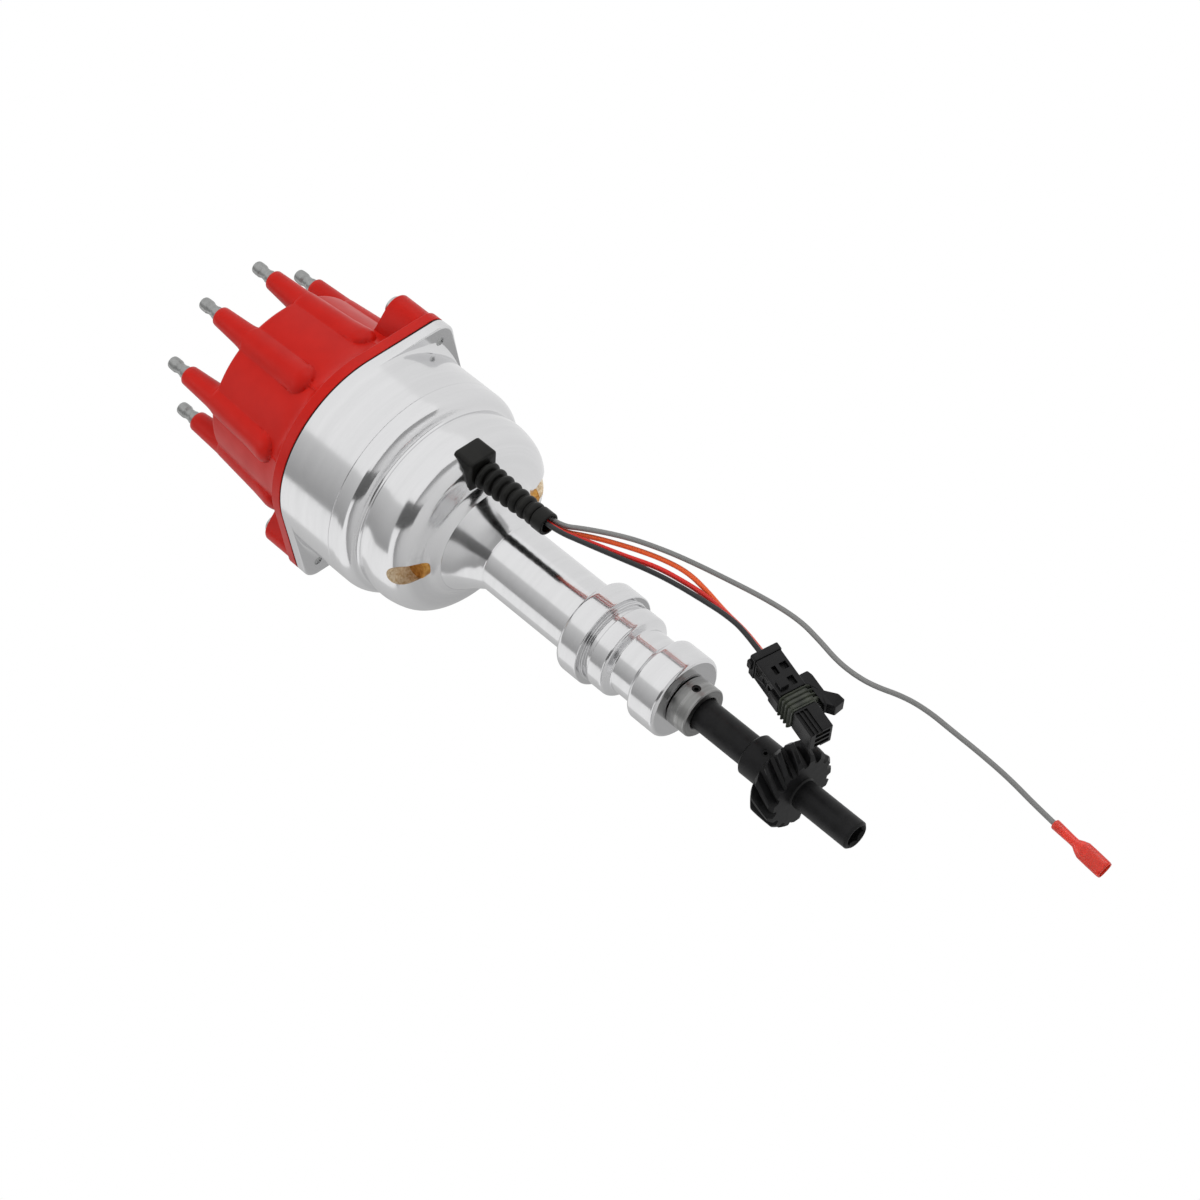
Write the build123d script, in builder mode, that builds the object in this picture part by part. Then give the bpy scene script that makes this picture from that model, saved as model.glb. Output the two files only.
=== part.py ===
import math
import os

from build123d import *

# Ignition distributor for a V8 engine, in millimetres. Z runs up the shaft, and Z = 0 is the
# shoulder under the mounting collar, which seats on the engine block. The cap's ears lie on X.

# Driving dimensions of the shaft and what is on it
shaft_r = 6.74
shaft_tip_r = 6.2
shaft_tip_z = -130.7
running_gap = 0.03
free_gap = 0.3
hex_across_flats = 7.94
hex_depth = 24.0
gear_bottom_z = -102.5
gear_height = 13.0
gear_teeth = 15
gear_tip_r = 17.4
gear_root_r = 14.0
gear_tip_land = 2.2
gear_root_land = 4.3
gear_twist = 25.7
hub_r = 9.0
hub_height = 13.0
roll_pin_r = 1.65
roll_pin_angle = -52.0
set_collar_r = 11.0
set_collar_height = 9.8
set_screw_r = 1.85
set_screw_angle = -40.0

# Driving dimensions of the neck
collar_r = 20.8
collar_height = 11.5
collar_round = 3.5
pilot_r = 18.3
pilot_land = 1.2
groove_r = 16.9
groove_end_z = -4.1
pilot_ring_end_z = -11.7
pilot_neck_r = 14.7
pilot_neck_low_slope = 2.5
pilot_neck_top_slope = 1.8
pilot_round = 1.6
lower_ring_top_z = -26.5
pilot_length = 40.0
tube_r = 15.7
tube_top_z = 58.3
cone_low_r = 15.1
cone_top_r = 24.5
cone_top_z = 73.3
shaft_bore_r = 8.5
bushing_r = 9.5
bushing_length = 27.0

# Driving dimensions of the bowl and the adapter ring
ring_r = 48.3
bowl_top_z = 114.0
band_low_z = 109.5
band_flare = 1.3
waist_r = ring_r - 4.9
waist_z = 101.2
bulge_r = ring_r - 4.5
bulge_z = 92.6
shoulder_r = bulge_r - 10.8
shoulder_z = 78.0
floor_z = 87.2
floor_round = 5.0
bowl_wall = 9.3
bowl_bore_r = ring_r - bowl_wall
hub_bore_r = 19.0
hub_top_z = floor_z + 3.0
lip_height = 1.2
lip_wall = 1.2
vent_z = 81.5
vent_r = 5.2
vent_angles = (45.0, 225.0)
vent_floor_radius = 28.5
vent_passage_r = 2.0
vent_screen_thickness = 2.6
ring_wall = 3.1
ring_bore_r = ring_r - ring_wall
ring_ledge_height = 4.0
seal_thickness = 0.8
cap_seam_z = 144.0
ear_circle_r = ring_r + 4.9
ear_r = 7.5
ear_height = 5.6

# Driving dimensions of the cap
cap_flange = 5.0
cap_wall = 3.0
cap_wall_low_r = ring_r - 5.3
cap_wall_low_z = 158.0
crown_r = ring_r - 8.1
crown_z = 197.0
crown_round = 2.0
cavity_low_r = cap_wall_low_r - cap_wall
cavity_top_r = crown_r - 3.9
cavity_step_z = 160.0
cavity_shelf_z = 172.0
cavity_top_z = 192.5
cap_ear_boss_r = 6.5
cap_ear_top_z = 165.0
tower_count = 8
tower_first_angle = 22.5
tower_circle_r = crown_r - 2.9
tower_top_r = 4.4
tower_top_z = 216.0
rib_top_r = 5.6
rib_top_z = 199.0
rib_top_circle_r = crown_r - 3.3
rib_low_r = 6.2
rib_low_z = 163.0
rib_low_circle_r = cap_wall_low_r - 3.4
stud_length = 10.7
stud_knob_r = 2.9
stud_neck_r = 2.3
stud_stem_r = 2.0
contact_r = 3.6
contact_low_z = 174.0
contact_height = 12.0
coil_tower_r = 6.6
coil_tower_top_z = 210.0
coil_insert_r = 4.2
coil_insert_low_z = 187.0
coil_insert_height = 12.0
button_r = 2.1
button_low_z = 181.2
button_length = 8.6
button_gap = 0.15

# Driving dimensions of the trigger, the advance and the rotor
race_r = 14.0
race_height = 9.0
race_wall = 2.2
ball_r = 2.2
ball_count = 9
retainer_height = 1.0
pickup_plate_r = bowl_bore_r - 6.0
pickup_plate_thickness = 1.8
magnet_in_r = 23.5
magnet_out_r = 31.0
magnet_height = 4.0
coil_in_r = 24.0
coil_out_r = 30.5
coil_height = 4.6
pole_gap = 0.7
reluctor_tip_r = 20.8
reluctor_root_r = 14.0
reluctor_height = 5.0
sleeve_wall = 2.8
plate_z = floor_z + 19.8
shaft_top_z = plate_z + 11.0
plate_thickness = 2.0
plate_r = 31.4
weight_height = 4.0
weight_pin_circle_r = 22.0
weight_pin_r = 2.0
cam_half_length = 13.0
cam_half_width = 8.0
cam_post_angle = 150.0
cam_post_r = 1.5
rotor_post_circle_r = 27.0
rotor_post_r = 3.0
rotor_screw_r = 1.5
rotor_disc_z = plate_z + 14.0
rotor_disc_r = bowl_bore_r - 6.0
rotor_disc_thickness = 4.0
rotor_column_r = 11.0
rotor_cone_height = 18.0
rotor_arm_depth = 26.0
rotor_blade_z = contact_low_z + 5.0
rotor_blade_thickness = 1.6
rotor_blade_gap = 0.8
blade_width = 9.0

# Driving dimensions of the lead boot, the leads and what is on them
boot_radius = 35.2
boot_angle = -38.3
boot_block = 12.2
boot_block_low_z = 76.0
boot_end_z = 38.5
boot_collar_r = 4.9
boot_collar_length = 6.0
boot_core_r = 3.9
boot_ribs = 7
boot_first_rib_r = 6.2
boot_last_rib_r = 4.8
boot_bore_r = 3.6
boot_bore_depth = 5.0
slot_width = 13.0
slot_top_z = 88.5
lead_r = 1.05
lead_tail = 3.0

os.makedirs("parts", exist_ok=True)


def polar(radius, angle, z=0.0):
    turn = math.radians(angle)
    return (radius * math.cos(turn), radius * math.sin(turn), z)


def section_plane(radius, angle):
    # Upright plane through a point on a circle: its x runs outward and its y runs up.
    return Plane(origin=polar(radius, angle), x_dir=polar(1, angle), z_dir=polar(1, angle - 90))


def radial_plane(radius, angle, z):
    # Plane facing outward at a point on a cylinder.
    return Plane(origin=polar(radius, angle, z), x_dir=polar(1, angle + 90), z_dir=polar(1, angle))


def write(name, piece):
    piece.part.label = name
    export_step(piece.part, f"parts/{name}.step")


ear_angles = (0.0, 180.0)
ear_centres = [polar(ear_circle_r, angle) for angle in ear_angles]
tower_angles = [tower_first_angle + 360.0 * i / tower_count for i in range(tower_count)]


# Neck housing: long tube with the mounting collar and the pilot below it
neck_low_z = -pilot_length
bearing_low_z = floor_z - retainer_height - race_height
with BuildPart() as neck_housing:
    with BuildSketch(Plane.XZ):
        with BuildLine():
            Polyline((shaft_bore_r, neck_low_z), (pilot_r, neck_low_z), (pilot_r, lower_ring_top_z))
            Polyline((pilot_r, lower_ring_top_z), (pilot_neck_r, lower_ring_top_z + pilot_neck_low_slope),
                     (pilot_neck_r, pilot_ring_end_z - pilot_neck_top_slope),
                     (pilot_r, pilot_ring_end_z), (pilot_r, groove_end_z))
            Polyline((pilot_r, groove_end_z), (groove_r, groove_end_z), (groove_r, -pilot_land))
            Polyline((groove_r, -pilot_land), (pilot_r, -pilot_land), (pilot_r, 0), (collar_r, 0))
            Line((collar_r, 0), (collar_r, collar_height - collar_round))
            RadiusArc((collar_r, collar_height - collar_round),
                      (collar_r - collar_round, collar_height), -collar_round)
            Polyline((collar_r - collar_round, collar_height), (tube_r, collar_height),
                     (tube_r, tube_top_z), (cone_low_r, tube_top_z))
            ThreePointArc((cone_low_r, tube_top_z),
                          (cone_low_r * 0.56 + cone_top_r * 0.44 - 0.6, (tube_top_z + cone_top_z) / 2),
                          (cone_top_r, cone_top_z))
            Polyline((cone_top_r, cone_top_z), (hub_bore_r, cone_top_z), (hub_bore_r, hub_top_z),
                     (shaft_bore_r, hub_top_z), (shaft_bore_r, neck_low_z))
        make_face()
    revolve(axis=Axis.Z)
    with BuildSketch(Plane.XY.offset(bearing_low_z)):
        Circle(race_r)
    extrude(amount=race_height, mode=Mode.SUBTRACT)
    with BuildSketch(Plane.XY.offset(bearing_low_z + race_height)):
        Circle(race_r + 0.6)
    extrude(amount=retainer_height, mode=Mode.SUBTRACT)
    with BuildSketch(Plane.XY.offset(bearing_low_z + race_height + retainer_height)):
        Circle(race_r - 1.0)
    extrude(amount=hub_top_z - floor_z, mode=Mode.SUBTRACT)
    with BuildSketch(Plane.XY.offset(neck_low_z)):
        Circle(bushing_r)
    extrude(amount=bushing_length, mode=Mode.SUBTRACT)
    circles = neck_housing.edges().filter_by(GeomType.CIRCLE)
    pilot_rims = circles.filter_by(lambda e: abs(e.radius - pilot_r) < 0.01)
    fillet(pilot_rims.filter_by(lambda e: e.center().Z < groove_end_z - 1), pilot_round)
write("neck_housing", neck_housing)


# Lower bushing and the thrust washer under it
bushing_top_z = neck_low_z + bushing_length
washer_height = 1.0
with BuildPart() as lower_bushing:
    with BuildSketch(Plane.XY.offset(neck_low_z + washer_height + 0.2)):
        Circle(bushing_r)
        Circle(shaft_r + running_gap, mode=Mode.SUBTRACT)
    extrude(amount=bushing_top_z - neck_low_z - washer_height - 0.2)
    chamfer(lower_bushing.edges().filter_by(GeomType.CIRCLE).group_by(SortBy.RADIUS)[0], 0.4)
write("lower_bushing", lower_bushing)

with BuildPart() as thrust_washer:
    with BuildSketch(Plane.XY.offset(neck_low_z)):
        Circle(bushing_r - 0.4)
        Circle(shaft_r + 0.1, mode=Mode.SUBTRACT)
    extrude(amount=washer_height)
write("thrust_washer", thrust_washer)


# Ball bearing at the top of the neck
bearing_mid_z = bearing_low_z + race_height / 2
ball_circle_r = (shaft_r + race_r) / 2
races = (("bearing_outer_race", race_r - race_wall, race_r),
         ("bearing_inner_race", shaft_r, shaft_r + race_wall))
for name, inner_r, outer_r in races:
    with BuildPart() as race:
        with BuildSketch(Plane.XZ):
            with Locations(((inner_r + outer_r) / 2, bearing_mid_z)):
                Rectangle(outer_r - inner_r, race_height)
            with Locations((ball_circle_r, bearing_mid_z)):
                Circle(ball_r + 0.05, mode=Mode.SUBTRACT)
        revolve(axis=Axis.Z)
    write(name, race)

with BuildPart() as bearing_balls:
    for i in range(ball_count):
        with Locations(polar(ball_circle_r, 360.0 * i / ball_count, bearing_mid_z)):
            Sphere(ball_r)
write("bearing_balls", bearing_balls)

with BuildPart() as bearing_retainer:
    with BuildSketch(Plane.XY.offset(bearing_low_z + race_height)):
        Circle(race_r + 0.6)
        Circle(race_r - 1.6, mode=Mode.SUBTRACT)
        with Locations((race_r - 0.5, 0)):
            Rectangle(4, 3, mode=Mode.SUBTRACT)
    extrude(amount=retainer_height)
write("bearing_retainer", bearing_retainer)


# Bowl housing: band, waist, bulge and shoulder, with the lead slot and two vents
adapter_screw_circle_r = bowl_bore_r + 3.8
adapter_screw_r = 1.5
adapter_screw_depth = 7.0
adapter_screw_angles = (25.0, 155.0, 270.0)
shoulder_foot = (shoulder_r, shoulder_z)
shoulder_middle = ((cone_top_r + shoulder_r) / 2 - 0.45, (cone_top_z + shoulder_z) / 2 + 0.65)
waist_low = (waist_r - 0.1, waist_z - 1.4)
waist_high = (waist_r + 0.2, waist_z + 1.2)
lip_r = bowl_bore_r + lip_wall
lip_top_z = bowl_top_z + lip_height
floor_corner_high = (bowl_bore_r, floor_z + floor_round)
floor_corner_low = (bowl_bore_r - floor_round, floor_z)
with BuildPart() as bowl_housing:
    with BuildSketch(Plane.XZ):
        with BuildLine():
            Polyline((hub_bore_r, cone_top_z), (cone_top_r, cone_top_z))
            ThreePointArc((cone_top_r, cone_top_z), shoulder_middle, shoulder_foot)
            Spline(shoulder_foot, (bulge_r - 5.8, shoulder_z + 2.0), (bulge_r - 1.9, shoulder_z + 6.4),
                   (bulge_r, bulge_z), waist_low, tangents=((1.0, 0.3), (-0.25, 1.0)))
            ThreePointArc(waist_low, (waist_r - 0.3, waist_z), waist_high)
            ThreePointArc(waist_high, (ring_r - band_flare, band_low_z - 4.3), (ring_r, band_low_z))
            Polyline((ring_r, band_low_z), (ring_r, bowl_top_z), (lip_r, bowl_top_z), (lip_r, lip_top_z),
                     (bowl_bore_r, lip_top_z), floor_corner_high)
            RadiusArc(floor_corner_high, floor_corner_low, floor_round)
            Polyline(floor_corner_low, (hub_bore_r, floor_z), (hub_bore_r, cone_top_z))
        make_face()
    revolve(axis=Axis.Z)
    with BuildSketch(section_plane(boot_radius, boot_angle).offset(-slot_width / 2)):
        with BuildLine():
            FilletPolyline((-boot_block / 2 - 0.4, cone_top_z - 1), (-boot_block / 2 - 0.4, slot_top_z),
                           (12, slot_top_z), (12, cone_top_z - 1), close=True, radius=1.2)
        make_face()
    extrude(amount=slot_width, mode=Mode.SUBTRACT)
    for angle in vent_angles:
        with BuildSketch(radial_plane(vent_floor_radius, angle, vent_z)):
            Circle(vent_r)
        extrude(amount=20, mode=Mode.SUBTRACT)
        with BuildSketch(Plane(origin=polar(vent_floor_radius, angle, vent_z))):
            Circle(vent_passage_r)
        extrude(amount=floor_z - vent_z, mode=Mode.SUBTRACT)
    with BuildSketch(Plane.XY.offset(bowl_top_z - adapter_screw_depth)):
        for angle in adapter_screw_angles:
            with Locations(polar(adapter_screw_circle_r, angle)[:2]):
                Circle(adapter_screw_r)
    extrude(amount=adapter_screw_depth, mode=Mode.SUBTRACT)
write("bowl_housing", bowl_housing)


# Sintered vent screens, pressed in the vent holes
for number, angle in enumerate(vent_angles, start=1):
    with BuildPart() as vent_screen:
        with BuildSketch(radial_plane(vent_floor_radius, angle, vent_z)):
            Circle(vent_r)
        extrude(amount=vent_screen_thickness)
        with BuildSketch(radial_plane(vent_floor_radius + vent_screen_thickness, angle, vent_z)):
            Circle(vent_r)
            Circle(vent_r - 1.0, mode=Mode.SUBTRACT)
        extrude(amount=1.0)
    write(f"vent_screen_{number}", vent_screen)


# Adapter ring with its two ears and the ledge that its screws hold down
def eared_outline(shrink):
    Circle(ring_r - shrink)
    for centre in ear_centres:
        with Locations(centre[:2]):
            Circle(ear_r - shrink)
    make_hull()


ring_top_z = cap_seam_z - seal_thickness
cap_screw_r = 2.0
with BuildPart() as cap_adapter_ring:
    with BuildSketch(Plane.XY.offset(bowl_top_z)):
        Circle(ring_r)
    extrude(amount=ring_top_z - bowl_top_z)
    with BuildSketch(Plane.XY.offset(cap_seam_z - ear_height)):
        eared_outline(0)
    extrude(amount=ear_height - seal_thickness)
    with BuildSketch(Plane.XY.offset(bowl_top_z + ring_ledge_height)):
        Circle(ring_bore_r)
    extrude(amount=ring_top_z - bowl_top_z - ring_ledge_height, mode=Mode.SUBTRACT)
    with BuildSketch(Plane.XY.offset(bowl_top_z)):
        Circle(lip_r + 0.05)
    extrude(amount=ring_ledge_height, mode=Mode.SUBTRACT)
    with BuildSketch(Plane.XY.offset(bowl_top_z)):
        for angle in adapter_screw_angles:
            with Locations(polar(adapter_screw_circle_r, angle)[:2]):
                Circle(adapter_screw_r)
    extrude(amount=ring_ledge_height, mode=Mode.SUBTRACT)
    with BuildSketch(Plane.XY.offset(cap_seam_z - ear_height)):
        for centre in ear_centres:
            with Locations(centre[:2]):
                Circle(cap_screw_r)
    extrude(amount=ear_height, mode=Mode.SUBTRACT)
write("cap_adapter_ring", cap_adapter_ring)

with BuildPart() as adapter_screws:
    with BuildSketch(Plane.XY.offset(bowl_top_z - adapter_screw_depth + 0.5)):
        for angle in adapter_screw_angles:
            with Locations(polar(adapter_screw_circle_r, angle)[:2]):
                Circle(adapter_screw_r)
    extrude(amount=adapter_screw_depth + ring_ledge_height - 0.5)
    with BuildSketch(Plane.XY.offset(bowl_top_z + ring_ledge_height)):
        for angle in adapter_screw_angles:
            with Locations(polar(adapter_screw_circle_r, angle)[:2]):
                Circle(2.2)
    extrude(amount=2)
    with BuildSketch(Plane.XY.offset(bowl_top_z + ring_ledge_height + 1)):
        for angle in adapter_screw_angles:
            with Locations(polar(adapter_screw_circle_r, angle)[:2]):
                RegularPolygon(1.2, 6)
    extrude(amount=1, mode=Mode.SUBTRACT)
write("adapter_screws", adapter_screws)

with BuildPart() as cap_seal:
    with BuildSketch(Plane.XY.offset(ring_top_z)):
        eared_outline(0.4)
        Circle(ring_bore_r, mode=Mode.SUBTRACT)
        for centre in ear_centres:
            with Locations(centre[:2]):
                Circle(cap_screw_r + 0.3, mode=Mode.SUBTRACT)
    extrude(amount=seal_thickness)
write("cap_seal", cap_seal)


# Distributor cap: one moulding with eight towers that run on as ribs down its wall
cap_flare = (cap_wall_low_r + 1.3, cap_wall_low_z - 5.6)
cap_ear_root = 6.0
with BuildPart() as distributor_cap:
    with BuildSketch(Plane.XY.offset(cap_seam_z)):
        eared_outline(0)
    extrude(amount=cap_flange)
    with BuildSketch(Plane.XZ):
        with BuildLine():
            Polyline((0, cap_seam_z), (ring_r, cap_seam_z), (ring_r, cap_seam_z + cap_flange))
            ThreePointArc((ring_r, cap_seam_z + cap_flange), cap_flare, (cap_wall_low_r, cap_wall_low_z))
            Line((cap_wall_low_r, cap_wall_low_z), (crown_r, crown_z - crown_round))
            ThreePointArc((crown_r, crown_z - crown_round), (crown_r - 0.6, crown_z - 0.5),
                          (crown_r - crown_round, crown_z))
            Polyline((crown_r - crown_round, crown_z), (0, crown_z + crown_round), (0, cap_seam_z))
        make_face()
    revolve(axis=Axis.Z)
    for angle in ear_angles:
        with BuildSketch(Plane.XY.offset(cap_seam_z)):
            with Locations(polar(ear_circle_r - cap_ear_root, angle)[:2]):
                SlotOverall(2 * (cap_ear_root + cap_ear_boss_r), 2 * cap_ear_boss_r)
        extrude(amount=cap_ear_top_z - cap_seam_z)
    for angle in tower_angles:
        with Locations(polar(rib_low_circle_r, angle, rib_low_z)):
            Sphere(rib_low_r)
        with BuildSketch(Plane(origin=polar(rib_low_circle_r, angle, rib_low_z))):
            Circle(rib_low_r)
        with BuildSketch(Plane(origin=polar(rib_top_circle_r, angle, rib_top_z))):
            Circle(rib_top_r)
        loft()
        with BuildSketch(Plane(origin=polar(rib_top_circle_r, angle, rib_top_z))):
            Circle(rib_top_r)
        with BuildSketch(Plane(origin=polar(tower_circle_r, angle, tower_top_z))):
            Circle(tower_top_r)
        loft()
    with BuildSketch(Plane.XY.offset(crown_z)):
        Circle(coil_tower_r)
    extrude(amount=coil_tower_top_z - crown_z, taper=3)
    fillet(distributor_cap.edges().filter_by(GeomType.CIRCLE).filter_by(
        lambda e: abs(e.center().Z - tower_top_z) < 0.01), 0.8)
    with BuildSketch(Plane.XZ):
        with BuildLine():
            Polyline((0, cap_seam_z), (cavity_low_r, cap_seam_z), (cavity_low_r, cavity_step_z),
                     (cavity_top_r, cavity_shelf_z), (cavity_top_r - 0.5, cavity_top_z),
                     (coil_insert_r + 3, cavity_top_z), (coil_insert_r + 2, coil_insert_low_z),
                     (0, coil_insert_low_z), (0, cap_seam_z))
        make_face()
    revolve(axis=Axis.Z, mode=Mode.SUBTRACT)
    for angle in tower_angles:
        with BuildSketch(Plane(origin=polar(tower_circle_r, angle, contact_low_z))):
            Circle(contact_r)
        extrude(amount=contact_height, mode=Mode.SUBTRACT)
        with BuildSketch(Plane(origin=polar(tower_circle_r, angle, contact_low_z))):
            Circle(stud_stem_r)
        extrude(amount=tower_top_z - contact_low_z, mode=Mode.SUBTRACT)
    with BuildSketch(Plane.XY.offset(coil_insert_low_z)):
        Circle(coil_insert_r)
    extrude(amount=coil_insert_height, mode=Mode.SUBTRACT)
    with BuildSketch(Plane.XY.offset(coil_insert_low_z)):
        Circle(stud_stem_r)
    extrude(amount=coil_tower_top_z - coil_insert_low_z, mode=Mode.SUBTRACT)
    with BuildSketch(Plane.XY.offset(cap_seam_z)):
        for centre in ear_centres:
            with Locations(centre[:2]):
                Circle(cap_screw_r + 0.3)
    extrude(amount=cap_ear_top_z - cap_seam_z, mode=Mode.SUBTRACT)
write("distributor_cap", distributor_cap)


# Male terminals: a stud with a knob above the tower, and a contact post inside the cap
def stud_outline(plane, base_z):
    tip_z = base_z + stud_length
    foot_low_r = stud_knob_r + 0.1
    foot_top_r = stud_knob_r - 0.3
    neck_low = base_z + 2.2
    neck_middle = base_z + 4.6
    neck_top = base_z + 7.2
    crest = 1.3
    with BuildSketch(plane) as outline:
        with BuildLine():
            Polyline((0, base_z), (foot_low_r, base_z), (foot_top_r, neck_low))
            ThreePointArc((foot_top_r, neck_low), (stud_neck_r, neck_middle), (stud_knob_r, neck_top))
            Line((stud_knob_r, neck_top), (stud_knob_r, tip_z - crest))
            RadiusArc((stud_knob_r, tip_z - crest), (stud_knob_r - crest, tip_z), -crest)
            Polyline((stud_knob_r - crest, tip_z), (0, tip_z), (0, base_z))
        make_face()
    return outline.sketch


with BuildPart() as spark_terminals:
    for angle in tower_angles:
        tower_axis = Axis(polar(tower_circle_r, angle), (0, 0, 1))
        revolve(stud_outline(section_plane(tower_circle_r, angle), tower_top_z), axis=tower_axis)
        with BuildSketch(Plane(origin=polar(tower_circle_r, angle, contact_low_z))):
            Circle(contact_r)
        extrude(amount=contact_height)
        with BuildSketch(Plane(origin=polar(tower_circle_r, angle, contact_low_z))):
            Circle(stud_stem_r)
        extrude(amount=tower_top_z - contact_low_z)
write("spark_terminals", spark_terminals)

button_top_z = button_low_z + button_length
button_bore_top_z = coil_insert_low_z + 9.0
with BuildPart() as coil_terminal:
    revolve(stud_outline(section_plane(0, 0), coil_tower_top_z), axis=Axis.Z)
    with BuildSketch(Plane.XY.offset(coil_insert_low_z)):
        Circle(coil_insert_r)
    extrude(amount=coil_insert_height)
    with BuildSketch(Plane.XY.offset(coil_insert_low_z)):
        Circle(stud_stem_r)
    extrude(amount=coil_tower_top_z - coil_insert_low_z)
    with BuildSketch(Plane.XY.offset(coil_insert_low_z)):
        Circle(button_r + button_gap)
    extrude(amount=button_bore_top_z - coil_insert_low_z, mode=Mode.SUBTRACT)
write("coil_terminal", coil_terminal)

with BuildPart() as carbon_button:
    with BuildSketch(Plane.XY.offset(button_low_z)):
        Circle(button_r)
    extrude(amount=button_length)
    fillet(carbon_button.edges().filter_by(GeomType.CIRCLE).sort_by(Axis.Z)[0], 1.0)
write("carbon_button", carbon_button)

with BuildPart() as button_spring:
    with BuildLine():
        Helix(pitch=1.4, height=button_bore_top_z - button_top_z - 1.0, radius=1.5,
              center=(0, 0, button_top_z + 0.5))
    with BuildSketch(Plane(origin=(1.5, 0, button_top_z + 0.5), z_dir=(0, 1, 0))):
        Circle(0.3)
    sweep(is_frenet=True)
write("button_spring", button_spring)


# Cap screws, through the cap's ears into the ring's ears
for number, centre in enumerate(ear_centres, start=1):
    with BuildPart() as cap_screw:
        with BuildSketch(Plane(origin=(centre[0], centre[1], cap_seam_z - ear_height + 0.6))):
            Circle(cap_screw_r)
        extrude(amount=cap_ear_top_z - cap_seam_z + ear_height - 0.6)
        with BuildSketch(Plane(origin=(centre[0], centre[1], cap_ear_top_z))):
            Circle(4.5)
        extrude(amount=2.6)
        fillet(cap_screw.edges().filter_by(GeomType.CIRCLE).sort_by(Axis.Z)[-1], 1.2)
        with BuildSketch(Plane(origin=(centre[0], centre[1], cap_ear_top_z + 1.2))):
            Rectangle(6.0, 1.1)
            Rectangle(1.1, 6.0)
        extrude(amount=3, mode=Mode.SUBTRACT)
    write(f"cap_screw_{number}", cap_screw)


# Drive shaft, with the hexagon socket for the oil pump's rod in its tip
gear_top_z = gear_bottom_z + gear_height
clip_groove_z = shaft_top_z - 3.0
with BuildPart() as drive_shaft:
    with BuildSketch(Plane.XZ):
        with BuildLine():
            Polyline((0, shaft_tip_z), (shaft_tip_r - 0.9, shaft_tip_z), (shaft_tip_r, shaft_tip_z + 0.9),
                     (shaft_tip_r, gear_bottom_z - 0.6), (shaft_r, gear_bottom_z), (shaft_r, clip_groove_z),
                     (shaft_r - 0.8, clip_groove_z), (shaft_r - 0.8, clip_groove_z + 1.2),
                     (shaft_r, clip_groove_z + 1.2), (shaft_r, shaft_top_z - 0.6),
                     (shaft_r - 0.6, shaft_top_z), (0, shaft_top_z), (0, shaft_tip_z))
        make_face()
    revolve(axis=Axis.Z)
    with BuildSketch(Plane.XY.offset(shaft_tip_z)):
        RegularPolygon(hex_across_flats / 2, 6, major_radius=False)
    extrude(amount=hex_depth, mode=Mode.SUBTRACT)
    with BuildSketch(Plane.XY.offset(shaft_tip_z)):
        Circle(hex_across_flats / 2 + 0.9)
    extrude(amount=1.2, taper=35, mode=Mode.SUBTRACT)
    with BuildSketch(radial_plane(-shaft_r - 1, roll_pin_angle, gear_top_z + hub_height * 0.4)):
        Circle(roll_pin_r)
    extrude(amount=2 * shaft_r + 2, mode=Mode.SUBTRACT)
write("drive_shaft", drive_shaft)


# Drive gear: each tooth is lofted through turned sections, on a blank with its hub above
tooth_steps = 4


def tooth_section(step):
    z = gear_bottom_z + gear_height * step / tooth_steps
    turn = gear_twist * step / tooth_steps
    low_r = gear_root_r - 0.6
    side = gear_tip_land / 2
    with BuildSketch(Plane.XY.offset(z).rotated((0, 0, turn))) as section:
        with BuildLine():
            Polyline((low_r, -gear_root_land / 2), (gear_tip_r - 0.5, -side - 0.15),
                     (gear_tip_r, -side + 0.4), (gear_tip_r, side - 0.4),
                     (gear_tip_r - 0.5, side + 0.15), (low_r, gear_root_land / 2), close=True)
        make_face()
    return section.sketch


with BuildPart() as one_tooth:
    loft([tooth_section(step) for step in range(tooth_steps + 1)])

hub_top_of_gear_z = gear_top_z + hub_height
with BuildPart() as drive_gear:
    with BuildSketch(Plane.XY.offset(gear_bottom_z)):
        Circle(gear_root_r)
    extrude(amount=gear_height)
    with PolarLocations(0, gear_teeth):
        add(one_tooth.part)
    with BuildSketch(Plane.XZ):
        with BuildLine():
            Polyline((gear_root_r + 0.6, gear_top_z), (gear_tip_r + 1, gear_top_z),
                     (gear_tip_r + 1, gear_top_z - 3.4), (gear_root_r + 0.6, gear_top_z))
        make_face()
        with BuildLine():
            Polyline((gear_tip_r - 1.6, gear_bottom_z), (gear_tip_r + 1, gear_bottom_z),
                     (gear_tip_r + 1, gear_bottom_z + 2.6), (gear_tip_r - 1.6, gear_bottom_z))
        make_face()
    revolve(axis=Axis.Z, mode=Mode.SUBTRACT)
    with BuildSketch(Plane.XY.offset(gear_top_z)):
        Circle(hub_r)
    extrude(amount=hub_height)
    chamfer(drive_gear.edges().filter_by(GeomType.CIRCLE).sort_by(Axis.Z)[-1], 0.9)
    with BuildSketch(Plane.XY.offset(gear_bottom_z)):
        Circle(shaft_r)
    extrude(amount=gear_height + hub_height, mode=Mode.SUBTRACT)
    with BuildSketch(radial_plane(-hub_r - 1, roll_pin_angle, gear_top_z + hub_height * 0.4)):
        Circle(roll_pin_r)
    extrude(amount=2 * hub_r + 2, mode=Mode.SUBTRACT)
write("drive_gear", drive_gear)

with BuildPart() as gear_roll_pin:
    with BuildSketch(radial_plane(-hub_r + 0.2, roll_pin_angle, gear_top_z + hub_height * 0.4)):
        Circle(roll_pin_r)
        Circle(roll_pin_r - 0.85, mode=Mode.SUBTRACT)
    extrude(amount=2 * hub_r - 0.4)
write("gear_roll_pin", gear_roll_pin)


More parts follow.
